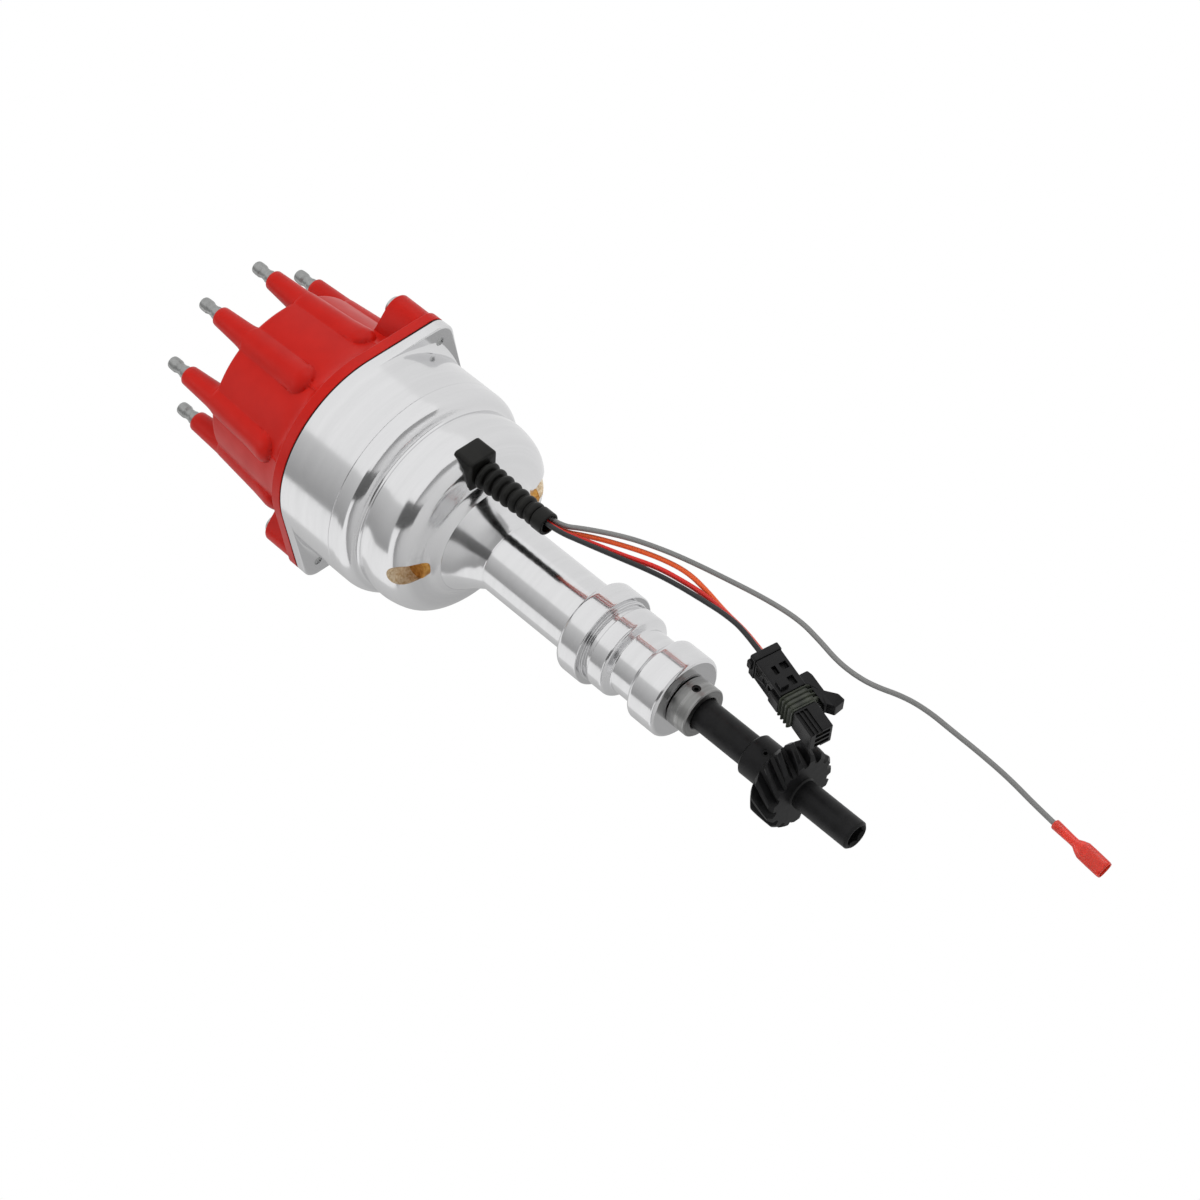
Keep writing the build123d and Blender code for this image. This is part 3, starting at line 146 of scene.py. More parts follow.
metal = {"Metallic": 1.0}
looks = {
    # Billet aluminium, turned on a lathe and polished: mirror bands softened across fine rings
    "turnedAluminium": {
        "tones": ("#E0E0E1", "#DBDBDC"), "sizes": (0.16, 5.0), "grain": "turned",
        "roughness": (0.12, 0.17), "depth": 0.003, "strength": 0.15, "fineShare": 0.9,
        "shader": {**metal, "Anisotropic": 0.4}, "brushed": True},
    # Glass-filled polyester, moulded with a satin face: deep red with a broad soft sheen
    "mouldedPolyester": {
        "tones": ("#BE1C13", "#B61911"), "sizes": (0.35, 9.0),
        "roughness": (0.3, 0.38), "depth": 0.008, "strength": 0.25, "specular": 0.17},
    # Zinc die casting, barrel finished: smooth mid grey with a slight haze
    "castZinc": {
        "tones": ("#A3A4A3", "#979897"), "sizes": (0.3, 2.4),
        "roughness": (0.3, 0.38), "depth": 0.006, "strength": 0.2, "shader": metal},
    # Steel screws and stampings, zinc plated: bright with a faint uneven haze
    "zincSteel": {
        "tones": ("#C9CACA", "#B5B6B5"), "sizes": (0.3, 2.0),
        "roughness": (0.22, 0.36), "depth": 0.008, "shader": metal},
    # Bearing steel, ground: near mirror
    "groundSteel": {
        "tones": ("#CFCFCF", "#C2C2C2"), "sizes": (0.2, 1.5), "grain": "turned",
        "roughness": (0.1, 0.18), "depth": 0.003, "shader": metal},
    # Sintered bronze, pressed from powder: warm gold with open grain
    "sinteredBronze": {
        "tones": ("#D9A55C", "#B67B33"), "sizes": (0.45, 1.8),
        "roughness": (0.32, 0.5), "depth": 0.09, "strength": 0.6, "shader": metal},
    # Pale bronze, pressed from beads, for the vent walls: cream with warm hollows. The paleness is a painted
    # highlight, a lit copy of the screen's gold bronze
    "bronzeWithPaintedSheen": {
        "tones": ("#F3E6CE", "#CDB084"), "sizes": (0.35, 1.2),
        "roughness": (0.4, 0.55), "depth": 0.06, "strength": 0.5, "shader": {"Metallic": 0.5}},
    # Neoprene, moulded: black with a dull bloom
    "mouldedNeoprene": {
        "tones": ("#10100F", "#171715"), "sizes": (0.4, 5.0),
        "roughness": (0.34, 0.44), "depth": 0.012, "strength": 0.3, "specular": 0.2},
    # Silicone seal, moulded: grey-green, slightly waxy
    "mouldedSilicone": {
        "tones": ("#43473C", "#31342E"), "sizes": (0.4, 3.0),
        "roughness": (0.3, 0.4), "depth": 0.008},
    # Nylon with glass fibre, moulded: dark with a fine orange-peel grain
    "mouldedNylon": {
        "tones": ("#0D0D0E", "#151516"), "sizes": (0.5, 4.0),
        "roughness": (0.24, 0.34), "depth": 0.012, "strength": 0.3, "specular": 0.24},
    # Steel with black oxide and oil: charcoal with a soft sheen
    "blackOxideSteel": {
        "tones": ("#111112", "#19191A"), "sizes": (0.35, 3.5),
        "roughness": (0.34, 0.46), "depth": 0.008, "specular": 0.18},
    # Carbon steel, turned: greyer than the housing, with plain tool lines
    "turnedSteel": {
        "tones": ("#9D9D9C", "#858584"), "sizes": (0.25, 1.5), "grain": "turned",
        "roughness": (0.24, 0.38), "depth": 0.01, "shader": metal},
    # Bonded ferrite, pressed: dull charcoal
    "pressedFerrite": {
        "tones": ("#3A3A3C", "#2F2F31"), "sizes": (0.4, 3.0),
        "roughness": (0.5, 0.65), "depth": 0.02},
    # Potting resin over the winding: dark and glossy
    "pottingResin": {
        "tones": ("#1B1C1E", "#232427"), "sizes": (0.8, 6.0),
        "roughness": (0.16, 0.26), "depth": 0.01},
    # Pressed carbon: black, slightly metallic where it rubs
    "pressedCarbon": {
        "tones": ("#2B2B2C", "#1F1F20"), "sizes": (0.3, 1.2),
        "roughness": (0.3, 0.45), "depth": 0.02, "shader": {"Metallic": 0.4}},
    # Brass strip, tinned: pale warm silver
    "tinnedBrass": {
        "tones": ("#CDC8B4", "#BDB498"), "sizes": (0.3, 2.0),
        "roughness": (0.2, 0.34), "depth": 0.006, "shader": metal},
    # Soft vinyl sleeve, clear red: light passes a little way in
    "clearRedVinyl": {
        "tones": ("#F03C22", "#E4301B"), "sizes": (0.5, 4.0),
        "roughness": (0.2, 0.32), "depth": 0.02,
        "shader": {"Transmission Weight": 0.35, "IOR": 1.53, "Subsurface Weight": 0.35,
                   "Subsurface Scale": 0.002}},
}
# Lead jackets are extruded cross-linked polyethylene: one satin finish in four colours
jackets = {"jacketGrey": ("#7E7E7D", "#747473"), "jacketOrange": ("#E8602A", "#DC5623"),
           "jacketRed": ("#D2231C", "#C41F19"), "jacketBlack": ("#1D1D1E", "#262627")}
for name, tones in jackets.items():
    looks[name] = {"tones": tones, "sizes": (0.6, 9.0), "grain": "drawn",
                   "roughness": (0.3, 0.36), "depth": 0.002, "strength": 0.1, "fineShare": 0.2,
                   "specular": 0.4}
materials = {name: surface(name, look) for name, look in looks.items()}
aluminium, black = "turnedAluminium", "mouldedNylon"
print("materials made:", len(materials))

wears = {
    "turnedAluminium": ["neck_housing", "bowl_housing", "cap_adapter_ring"],
    "mouldedPolyester": ["distributor_cap", "rotor"],
    "castZinc": ["spark_terminals", "coil_terminal"],
    "zincSteel": ["cap_screw_1", "cap_screw_2", "adapter_screws", "button_spring", "thrust_washer",
                  "centre_cam", "trigger_sleeve", "reluctor", "pole_piece", "pickup_plate", "rotor_screws",
                  "advance_spring_1", "advance_spring_2", "advance_weight_1", "advance_weight_2"],
    "groundSteel": ["bearing_outer_race", "bearing_inner_race", "bearing_balls"],
    "sinteredBronze": ["lower_bushing", "vent_screen_1", "vent_screen_2"],
    "mouldedNeoprene": ["wire_boot", "cap_seal"],
    "mouldedSilicone": ["connector_seal"],
    "mouldedNylon": ["connector_body", "connector_lock", "ignition_module"],
    "blackOxideSteel": ["drive_shaft", "drive_gear", "gear_roll_pin", "collar_set_screw", "retaining_clip",
                        "bearing_retainer"],
    "turnedSteel": ["set_collar"],
    "pressedFerrite": ["pickup_magnet"],
    "pottingResin": ["pickup_coil"],
    "pressedCarbon": ["carbon_button"],
    "tinnedBrass": ["rotor_blade", "connector_terminals", "spade_terminal"],
    "clearRedVinyl": ["spade_sleeve"],
}
for name, parts in wears.items():
    for part in parts:
        worn = nodes[part].material_slots
        if len(worn) == 0:
            nodes[part].data.materials.append(materials[name])
        for cadSlot in worn:
            cadSlot.link = "OBJECT"
            cadSlot.material = materials[name]


# leads
leadSettings = {"planeTurn": 17.5, "diameter": 2.1,
                "lengths": {"grey": 250.3, "orange": 121.5, "red": 120.1, "black": 119.7}}


def harness(across, depth, height):
    # the harness hangs in an upright plane that is turned about z: (u cos t + v sin t, u sin t - v cos t, z)
    turn = math.radians(leadSettings["planeTurn"])
    return (across * math.cos(turn) + depth * math.sin(turn),
            across * math.sin(turn) - depth * math.cos(turn), height)


def squareTo(axis):
    # side and front square to an axis, the side as near to the harness plane as it can be
    across = Vector(harness(1, 0, 0))
    side = (across - axis * across.dot(axis)).normalized()
    return side, axis.cross(side)


boot = {"centre": (27.624, -21.816), "across": 19.785, "depth": 29.113, "turn": -38.3,
        "end": 38.5, "bore": 5.0, "mouth": 3.6, "block": 12.2, "blockWidth": 13.6, "blockReach": 2.4,
        "blockLow": 76.0, "blockTop": 86.7, "firstRib": 6.2, "lastRib": 4.8, "core": 3.9,
        "collar": 4.9, "collarLength": 6.0, "ribs": 7}
plug = {"rear": (31.8, 29.0, -66.2), "tip": (21.4, 29.0, -105.7), "pitch": 3.2, "cover": 3.2}
spade = {"start": (48.1, 29.0, -198.4), "lean": -0.09, "tail": 3.0}

rear = Vector(harness(*plug["rear"]))
plugAxis = (Vector(harness(*plug["tip"])) - rear).normalized()
plugSide, plugFront = squareTo(plugAxis)
spadeStart = Vector(harness(*spade["start"]))
spadeAxis = Vector(harness(spade["lean"], 0, -1)).normalized()
spadeSide, spadeFront = squareTo(spadeAxis)


def cavityPoint(way, along):
    # a point in one of the connector's cavities: rear + front * way + axis * along
    return tuple(rear + plugFront * way + plugAxis * along)


leadTop = boot["end"] + boot["bore"]
across, depth = boot["across"], boot["depth"]
ways = (-plug["pitch"], 0, plug["pitch"])
hanging = {
    "grey": [(across + 2.3, depth - 0.9, leadTop), (across + 2.3, depth - 0.9, 35.0), (27.3, 28.8, 25.2),
             (34.3, 29.0, 9.5), (38.4, 29.0, -3.4), (41.8, 29.0, -16.8), (45.3, 29.0, -35.2),
             (48.6, 29.0, -54.4), (50.0, 29.0, -70.4), (48.5, 29.0, -82.2), (46.6, 29.0, -92.4),
             (46.4, 29.0, -101.5), (47.5, 29.0, -110.6), (51.2, 29.0, -122.8), (52.4, 29.0, -134.0),
             (52.0, 29.0, -146.4), (51.8, 29.0, -158.7), (51.0, 29.0, -173.9), (48.9, 29.0, -189.4)],
    "orange": [(across + 0.5, depth - 2.3, leadTop), (across + 0.5, depth - 2.3, 34.5), (26.6, 27.0, 21.5),
               (32.6, 27.0, 5.0), (36.5, 27.0, -8.3), (38.5, 27.0, -20.5), (37.3, 26.9, -32.0),
               (35.2, 26.3, -43.0)],
    "red": [(across + 0.2, depth + 0.1, leadTop), (across + 0.2, depth + 0.1, 34.0), (24.0, 29.3, 20.6),
            (28.2, 29.3, 4.6), (32.7, 29.3, -9.6), (34.5, 29.3, -21.6), (35.6, 29.3, -33.0),
            (35.0, 29.1, -44.0)],
    "black": [(across - 0.3, depth + 2.4, leadTop), (across - 0.3, depth + 2.4, 34.0), (23.0, 31.6, 19.0),
              (26.6, 31.6, 4.0), (30.0, 31.6, -10.0), (32.1, 31.6, -22.0), (33.6, 31.7, -36.0),
              (34.5, 32.0, -46.5)],
}
routes = {name: [harness(*point) for point in points] for name, points in hanging.items()}
# the grey lead ends in the push-on terminal, the others in the connector's three cavities
routes["grey"].append(tuple(spadeStart + spadeAxis * spade["tail"]))
for name, way in zip(("orange", "red", "black"), ways):
    routes[name] += [cavityPoint(way, -9), cavityPoint(way, plug["cover"] + 5)]
leads = {}
for name, points in routes.items():
    curve = bpy.data.curves.new(f"lead{name.capitalize()}", "CURVE")
    curve.dimensions = "3D"
    curve.resolution_u = 10
    curve.bevel_depth = leadSettings["diameter"] / 2 * millimetre
    curve.bevel_resolution = 6
    curve.use_fill_caps = True
    line = curve.splines.new("NURBS")
    line.points.add(len(points) - 1)
    placed = np.column_stack([np.array(points) * millimetre, np.ones(len(points))])
    line.points.foreach_set("co", placed.ravel())
    line.order_u = 3
    line.use_endpoint_u = True
    curve.materials.append(materials[f"jacket{name.capitalize()}"])
    leads[name] = linked(f"lead{name.capitalize()}", curve)
    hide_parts(f"lead_{name}")
    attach(leads[name], "housing")
print("leads made:", len(leads))


# surfaces
sharpAngle = 32.0  # edges that turn by more than this stay crisp in the shading


def finished(name, grids, material, sharp=sharpAngle, loop=False):
    # doubled points merge, so that a row drawn in to a point becomes a pole
    mesh = gridMesh(name, grids, loop)
    form = bmesh.new()
    form.from_mesh(mesh)
    bmesh.ops.remove_doubles(form, verts=form.verts, dist=2e-6)
    bmesh.ops.dissolve_degenerate(form, edges=form.edges, dist=1e-7)
    form.to_mesh(mesh)
    form.free()
    mesh.shade_smooth()
    mesh.set_sharp_from_angle(angle=math.radians(sharp))
    mesh.materials.clear()
    mesh.materials.append(materials[material])
    return linked(name, mesh)


def gridMesh(name, grids, loop):
    # grids are (rows, columns, 3) arrays in millimetres: columns run round and close on themselves,
    # rows run along the outline, and close too if loop says so
    points, faces, start = [], [], 0
    for grid in grids:
        rows, columns = grid.shape[:2]
        here = np.arange(rows * columns).reshape(rows, columns)
        if loop:
            here = np.vstack([here, here[:1]])
        beside = np.roll(here, -1, axis=1)
        quads = np.stack([here[:-1], beside[:-1], beside[1:], here[1:]], axis=-1)
        points.append(grid.reshape(-1, 3))
        faces.append(quads.reshape(-1, 4) + start)
        start += rows * columns
    mesh = bpy.data.meshes.new(name)
    mesh.from_pydata((np.vstack(points) * millimetre).tolist(), [], np.vstack(faces).tolist())
    return mesh


def rounded(corners, steps=6, support=0.2):
    # Corners are (x, y, radius). Each turns into an arc of that radius between its tangent points:
    # the tangent length is radius * tan(half the turn), and the arc's points are spaced by equal angles.
    # A point just before and after each arc keeps the flats flat in the shading.
    shape = np.array(corners, dtype=float)
    here = shape[:, :2]
    before, after = np.roll(here, 1, axis=0), np.roll(here, -1, axis=0)
    toBefore, toAfter = before - here, after - here
    reachBefore = np.linalg.norm(toBefore, axis=1)
    reachAfter = np.linalg.norm(toAfter, axis=1)
    toBefore /= reachBefore[:, None]
    toAfter /= reachAfter[:, None]
    cosine = np.clip((toBefore * toAfter).sum(1), -1, 1)
    turn = np.pi - np.arccos(cosine)
    radius = np.maximum(shape[:, 2], 1e-3)
    tangent = np.minimum(radius * np.tan(turn / 2), 0.46 * np.minimum(reachBefore, reachAfter))
    radius = tangent / np.maximum(np.tan(turn / 2), 1e-6)
    inward = toBefore + toAfter
    size = np.linalg.norm(inward, axis=1)
    straight = size < 1e-6
    inward /= np.where(straight, 1, size)[:, None]
    centre = here + inward * (radius / np.maximum(np.cos(turn / 2), 1e-6))[:, None]
    share = np.linspace(0, 1, steps + 1)[None, :]
    first = here + toBefore * tangent[:, None] - centre
    last = here + toAfter * tangent[:, None] - centre
    # spherical blend from the first arm to the last: sin((1 - s) t) / sin t and sin(s t) / sin t
    safe = np.maximum(turn, 1e-6)[:, None]
    arc = (centre[:, None, :] + first[:, None, :] * (np.sin((1 - share) * safe) / np.sin(safe))[..., None]
           + last[:, None, :] * (np.sin(share * safe) / np.sin(safe))[..., None])
    arc[straight] = here[straight][:, None, :]
    room = np.minimum(support, 0.3 * np.minimum(reachBefore, reachAfter))
    early = here + toBefore * (tangent + room)[:, None]
    late = here + toAfter * (tangent + room)[:, None]
    return np.concatenate([early[:, None], arc, late[:, None]], axis=1).reshape(-1, 2)


def throughPoints(knots, steps):
    # Catmull-Rom: between two knots the curve is the cubic whose end slopes are half the
    # difference of the neighbours on each side
    knots = np.array(knots, dtype=float)
    padded = np.vstack([2 * knots[0] - knots[1], knots, 2 * knots[-1] - knots[-2]])
    p0, p1, p2, p3 = padded[:-3, None], padded[1:-2, None], padded[2:-1, None], padded[3:, None]
    s = np.linspace(0, 1, steps, endpoint=False)[None, :, None]
    run = 0.5 * (2 * p1 + (p2 - p0) * s + (2 * p0 - 5 * p1 + 4 * p2 - p3) * s**2
                 + (3 * p1 - p0 - 3 * p2 + p3) * s**3)
    return np.vstack([run.reshape(-1, 2), knots[-1:]])


def fullTurn(columns):
    # equal angles once round, without the doubled last one
    return np.linspace(0, 2 * np.pi, columns, endpoint=False)[None, :]


def aroundAxis(radius, height, angle, centre=(0.0, 0.0)):
    # (cx + r cos a, cy + r sin a, z): the radius may differ from row to row and from angle to angle
    return np.stack([centre[0] + radius * np.cos(angle), centre[1] + radius * np.sin(angle),
                     height + 0 * angle], axis=-1)


def revolved(outline, columns, centre=(0.0, 0.0)):
    # each outline point (r, z) goes round the axis
    return aroundAxis(outline[:, :1], outline[:, 1:], fullTurn(columns), centre)


def farSide(distance, radius, turn):
    # far side of a small circle, seen from the axis at the angle t off its middle, where d is the
    # distance between the two centres: d cos t + sqrt(r * r - (d sin t) ** 2)
    return distance * np.cos(turn) + np.sqrt(np.maximum(radius**2 - (distance * np.sin(turn))**2, 0))


def rimRounded(reach, into, radius):
    # quarter arc at a rim: reach - r + sqrt(r * r - t * t), where t is how far the row lies in the arc
    along = np.clip(into, 0, radius)
    return reach - radius + np.sqrt(np.maximum(radius**2 - along**2, 0))


def cutAway(piece, cutters):
    # exact difference; a face that the cutter leaves keeps the cutter's material
    for cutter in cutters:
        step = piece.modifiers.new("cut", "BOOLEAN")
        step.operation = "DIFFERENCE"
        step.solver = "EXACT"
        step.material_mode = "TRANSFER"
        step.object = cutter
    bpy.context.view_layer.update()
    shaped = bpy.data.meshes.new_from_object(piece.evaluated_get(bpy.context.evaluated_depsgraph_get()))
    piece.modifiers.clear()
    piece.data = shaped
    shaped.shade_smooth()
    shaped.set_sharp_from_angle(angle=math.radians(sharpAngle))
    for cutter in cutters:
        bpy.data.objects.remove(cutter)


def place(piece, slot, *replaced):
    # every piece drawn here rides the housing; what turns inside it stays as the solids have it
    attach(piece, "housing")
    if replaced:
        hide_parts(*replaced)


def inFrame(origin, axes, *measures):
    # origin + side * u + front * v + axis * w
    return np.array(origin) + sum(far[..., None] * np.array(axis) for axis, far in zip(axes, measures))


def barrel(origin, side, front, axis, sections):
    # sections are (distance, width, depth, corner): each is a rectangle with quarter arcs at its
    # corners, placed along the axis, and the two ends close on their middles
    rings = []
    for distance, width, depth, corner in sections:
        outline = rounded([(u * width / 2, v * depth / 2, corner)
                           for u, v in ((1, -1), (1, 1), (-1, 1), (-1, -1))], steps=9, support=0.15)
        rings.append(inFrame(origin, (side, front, axis), *outline.T, np.array([distance])))
    first, last = rings[0].mean(0, keepdims=True), rings[-1].mean(0, keepdims=True)
    rings = [0 * rings[0] + first] + rings + [0 * rings[-1] + last]
    return np.stack(rings)


def softEnds(start, end, width, depth, corner, edge=0.4):
    # a block from start to end whose two rims are rounded by edge, in four steps of a quarter arc
    turn = np.linspace(0, np.pi / 2, 5)
    inset, along = edge * (1 - np.sin(turn)), edge * (1 - np.cos(turn))
    low = [(start + a, width - 2 * i, depth - 2 * i, max(corner - i, 0.1)) for a, i in zip(along, inset)]
    high = [(end - a, width - 2 * i, depth - 2 * i, max(corner - i, 0.1)) for a, i in zip(along, inset)]
    return low + high[::-1]


# In the outlines below, corners are (radius, height, rounding), and a slice at the end leaves out
# the points that only close the outline or lie on its neighbour.

# neck: long tube, mounting collar and pilot, turned from bar
neck = {"bore": 9.5, "pilot": 18.3, "foot": -40.0, "waist": 14.7, "groove": 16.9, "collar": 20.8,
        "collarTop": 11.5, "tube": 15.7, "coneFoot": 15.1, "coneTop": 24.5, "coneHeight": 73.3,
        "spigot": 19.0, "spigotTop": 90.2, "seat": 13.0, "clip": 14.6, "bearing": 14.0, "shaftBore": 8.5}
cone = throughPoints([(neck["coneFoot"], 58.8), (16.9, 62.4), (20.0, 67.6),
                      (neck["coneTop"], neck["coneHeight"])], steps=8)
low = rounded([
    (neck["bore"], neck["foot"], 0.4), (neck["pilot"], neck["foot"], 1.6), (neck["pilot"], -26.5, 1.6),
    (neck["waist"], -24.0, 0.8), (neck["waist"], -13.5, 0.8),
    (neck["pilot"], -11.7, 1.6), (neck["pilot"], -4.1, 0.5), (neck["groove"], -4.1, 0.25),
    (neck["groove"], -1.2, 0.25), (neck["pilot"], -1.2, 0.3), (neck["pilot"], 0.0, 0.2),
    (neck["collar"], 0.0, 0.5), (neck["collar"], neck["collarTop"], 3.5),
    (neck["tube"], neck["collarTop"], 0.9), (neck["tube"], 58.3, 0.2),
    (neck["coneFoot"], 58.45, 0.2), (neck["coneFoot"], 60.0, 0.01)])[:-9]
high = rounded([
    (neck["coneTop"], 73.2, 0.1), (neck["coneTop"], neck["coneHeight"], 0.05),
    (neck["spigot"], neck["coneHeight"], 0.05), (neck["spigot"], neck["spigotTop"], 0.3),
    (neck["seat"], neck["spigotTop"], 0.2), (neck["seat"], 87.2, 0.05), (neck["clip"], 87.2, 0.05),
    (neck["clip"], 86.2, 0.05), (neck["bearing"], 86.2, 0.05), (neck["bearing"], 77.2, 0.05),
    (neck["shaftBore"], 77.2, 0.2), (neck["shaftBore"], -13.0, 0.05),
    (neck["bore"], -13.0, 0.05), (neck["bore"], -30.0, 0.05)], support=0.05)[7:]
place(finished("neckHousing", [revolved(np.vstack([low, cone, high]), 256)], aluminium, loop=True),
      "billet_aluminium", "neck_housing")
print("neck made")

# bowl: band, waist, bulge and shoulder, with the lead slot and two vents
bowl = {"foot": 73.32, "band": 48.3, "bandTop": 114.0, "lip": 40.2, "lipTop": 115.2, "bore": 39.0,
        "floor": 87.2, "ventHeight": 80.4, "ventRadius": 5.2, "ventFloor": 28.5, "ventEnd": 50.0,
        "ventAngles": (51.0, 231.0), "screen": 31.2, "screenSlack": 0.05, "slotMiddle": 35.2,
        "slotFoot": 70.0, "slotTop": 86.5, "slotWidth": 13.4}
shoulder = throughPoints([
    (neck["coneTop"], bowl["foot"]), (26.2, 74.5), (28.3, 76.3), (30.6, 77.3), (33.0, 78.0), (38.0, 80.0),
    (41.9, 84.4), (43.8, 92.6), (43.3, 99.8), (43.1, 101.2), (43.6, 102.4), (45.6, 103.5), (47.0, 105.2),
    (47.95, 107.3), (bowl["band"], 109.5)], steps=8)
inside = rounded([
    (bowl["band"], 111.0, 0.1), (bowl["band"], bowl["bandTop"], 0.25), (bowl["lip"], bowl["bandTop"], 0.1),
    (bowl["lip"], bowl["lipTop"], 0.2), (bowl["bore"], bowl["lipTop"], 0.2),
    (bowl["bore"], bowl["floor"], 5.0), (neck["spigot"], bowl["floor"], 0.2),
    (neck["spigot"], bowl["foot"], 0.05), (22.0, bowl["foot"], 0.05)], support=0.15)[7:-3]
bowlPiece = finished("bowlHousing", [revolved(np.vstack([shoulder, inside]), 288)],
                     aluminium, loop=True)


def cylinderBetween(name, start, end, radius, material, columns=64):
    # rings square to the line from start to end, closed on their middles
    start, end = np.array(start, dtype=float), np.array(end, dtype=float)
    along = (end - start) / np.linalg.norm(end - start)
    helper = np.array([0.0, 0.0, 1.0]) if abs(along[2]) < 0.9 else np.array([1.0, 0.0, 0.0])
    side = np.cross(helper, along)
    side /= np.linalg.norm(side)
    front = np.cross(along, side)
    angle = fullTurn(columns).T
    ring = (np.cos(angle) * side + np.sin(angle) * front) * radius
    rings = np.stack([start + 0 * ring, start + ring, end + ring, end + 0 * ring])
    return finished(name, [rings], material)


def outwardPoint(radius, angle, height):
    # (r cos a, r sin a, z), the angle in degrees
    return (radius * math.cos(math.radians(angle)), radius * math.sin(math.radians(angle)), height)


def ventPlug(name, angle, start, end, radius, material):
    # a cylinder along a vent, between two distances from the axis
    return cylinderBetween(name, outwardPoint(start, angle, bowl["ventHeight"]),
                           outwardPoint(end, angle, bowl["ventHeight"]), radius, material)


upAxis = Vector((0, 0, 1))
outAxis = Vector(outwardPoint(1, boot["turn"], 0))
sideAxis = Vector(outwardPoint(1, boot["turn"] + 90, 0))
slotSpan = (-boot["block"] / 2 - 0.4, boot["block"] / 2 + boot["blockReach"] - 0.3)
slotFoot = Vector(outwardPoint(bowl["slotMiddle"] + sum(slotSpan) / 2, boot["turn"], bowl["slotFoot"]))
slotBox = barrel(slotFoot, outAxis, sideAxis, upAxis,
                 softEnds(0, bowl["slotTop"] - bowl["slotFoot"], slotSpan[1] - slotSpan[0],
                          bowl["slotWidth"], 1.0, 0.3))
# the cut vent walls take the cutters' pale bronze, a painted highlight of the screen's sheen
cutters = [ventPlug("ventCut", angle, bowl["ventFloor"], bowl["ventEnd"], bowl["ventRadius"],
                    "bronzeWithPaintedSheen") for angle in bowl["ventAngles"]]
cutters.append(finished("slotCut", [slotBox], aluminium))
cutAway(bowlPiece, cutters)
place(bowlPiece, "billet_aluminium", "bowl_housing")
for number, angle in enumerate(bowl["ventAngles"], start=1):
    screenPiece = ventPlug(f"ventScreen{number}", angle, bowl["ventFloor"] - 0.4, bowl["screen"],
                           bowl["ventRadius"] - bowl["screenSlack"], "sinteredBronze")
    place(screenPiece, "sintered_brass", f"vent_screen_{number}")
print("bowl made")

# adapter ring with its two ears
ears = {"ring": bowl["band"], "circle": 53.2, "radius": 7.5, "boss": 6.5, "bossTop": 165.0,
        "bossReach": 53.0, "bossSpan": 0.16, "bossRim": 0.9}
adapter = {"earReach": 55.0, "earFoot": 138.4, "top": 143.2, "bore": 45.2, "step": 118.0,
           "lip": 40.25, "screwHole": 2.0}


def fromEar(angle):
    # how far an angle lies from the nearer ear's middle, on either side
    return np.abs((angle + np.pi / 2) % np.pi - np.pi / 2)


def earedRadius(angle):
    # Outline of the circle and two ear circles with their tangents, as a radius per angle: the ear
    # circle near its middle, the tangent line R / cos(a - tangentTurn) beside it, the circle beyond
    near = fromEar(angle)
    ring, ear, reach = ears["ring"], ears["radius"], ears["circle"]
    tangentTurn = math.acos((ring - ear) / reach)
    touch = math.atan2(ear * math.sin(tangentTurn), reach + ear * math.cos(tangentTurn))
    straight = ring / np.cos(near - tangentTurn)
    return np.where(near < touch, farSide(reach, ear, near), np.where(near < tangentTurn, straight, ring))


ringCorners = rounded([
    (ears["ring"], bowl["bandTop"], 0.25), (ears["ring"], adapter["earFoot"], 2.2),
    (adapter["earReach"], adapter["earFoot"], 0.6), (adapter["earReach"], adapter["top"], 0.3),
    (adapter["bore"], adapter["top"], 0.3), (adapter["bore"], adapter["step"], 0.2),
    (adapter["lip"], adapter["step"], 0.2), (adapter["lip"], bowl["bandTop"], 0.2)])
ringAngle = fullTurn(720)
beyond = np.maximum(ringCorners[:, :1] - ears["ring"], 0) / (adapter["earReach"] - ears["ring"])
ringReach = np.minimum(ringCorners[:, :1], ears["ring"]) + beyond * (earedRadius(ringAngle) - ears["ring"])
ringPiece = finished("adapterRing", [aroundAxis(ringReach, ringCorners[:, 1:], ringAngle)],
                     aluminium, loop=True)
cutAway(ringPiece, [
    cylinderBetween("holeCut", (turn * ears["circle"], 0, 130.0), (turn * ears["circle"], 0, 150.0),
                    adapter["screwHole"], aluminium) for turn in (1, -1)])
place(ringPiece, "billet_aluminium", "cap_adapter_ring")
print("ring made")

# cap: one moulding, its ribs blended into the wall
cap = {"seam": 144.0, "flange": 5.0, "flangeRim": 0.8, "lowRim": 0.3, "crown": 197.0, "crownRim": 2.2,
       "wallTop": (195.0, 40.3), "ribFoot": 163.0, "ribHeight": 36.0, "ribCircle": (39.6, 36.9),
       "ribRadius": (6.2, 5.6), "blendHeights": (157.0, 172.0), "blends": (8.0, 3.4), "bossBlend": 2.0}
tower = {"count": 8, "first": 22.5, "foot": 193.3, "top": 216.0, "levels": (193.0, 199.0, 216.0),
         "radii": (5.7, 5.6, 4.4), "circles": (37.0, 36.9, 37.3), "tip": 4.42, "rim": 0.9,
         "flare": 1.5, "flareFoot": 197.2, "flareFade": 1.3}


def softMax(a, b, width):
    # the larger of the two, with a fillet: max + h * h * width / 4, where h = max(width - |a - b|, 0) / width
    near = np.maximum(width - np.abs(a - b), 0) / width
    return np.maximum(a, b) + near**2 * width / 4


flangeTop = cap["seam"] + cap["flange"]
wallLine = np.vstack([
    rounded([(40.0, cap["seam"], 0.2), (ears["ring"], cap["seam"], 0.3), (ears["ring"], flangeTop, 0.9),
             (46.6, 149.6, 0.1)])[9:-2],
    throughPoints([(46.9, 149.3), (45.2, 150.9), (43.9, 153.6), (43.1, 157.5), (42.7, 161.5)], steps=7)])
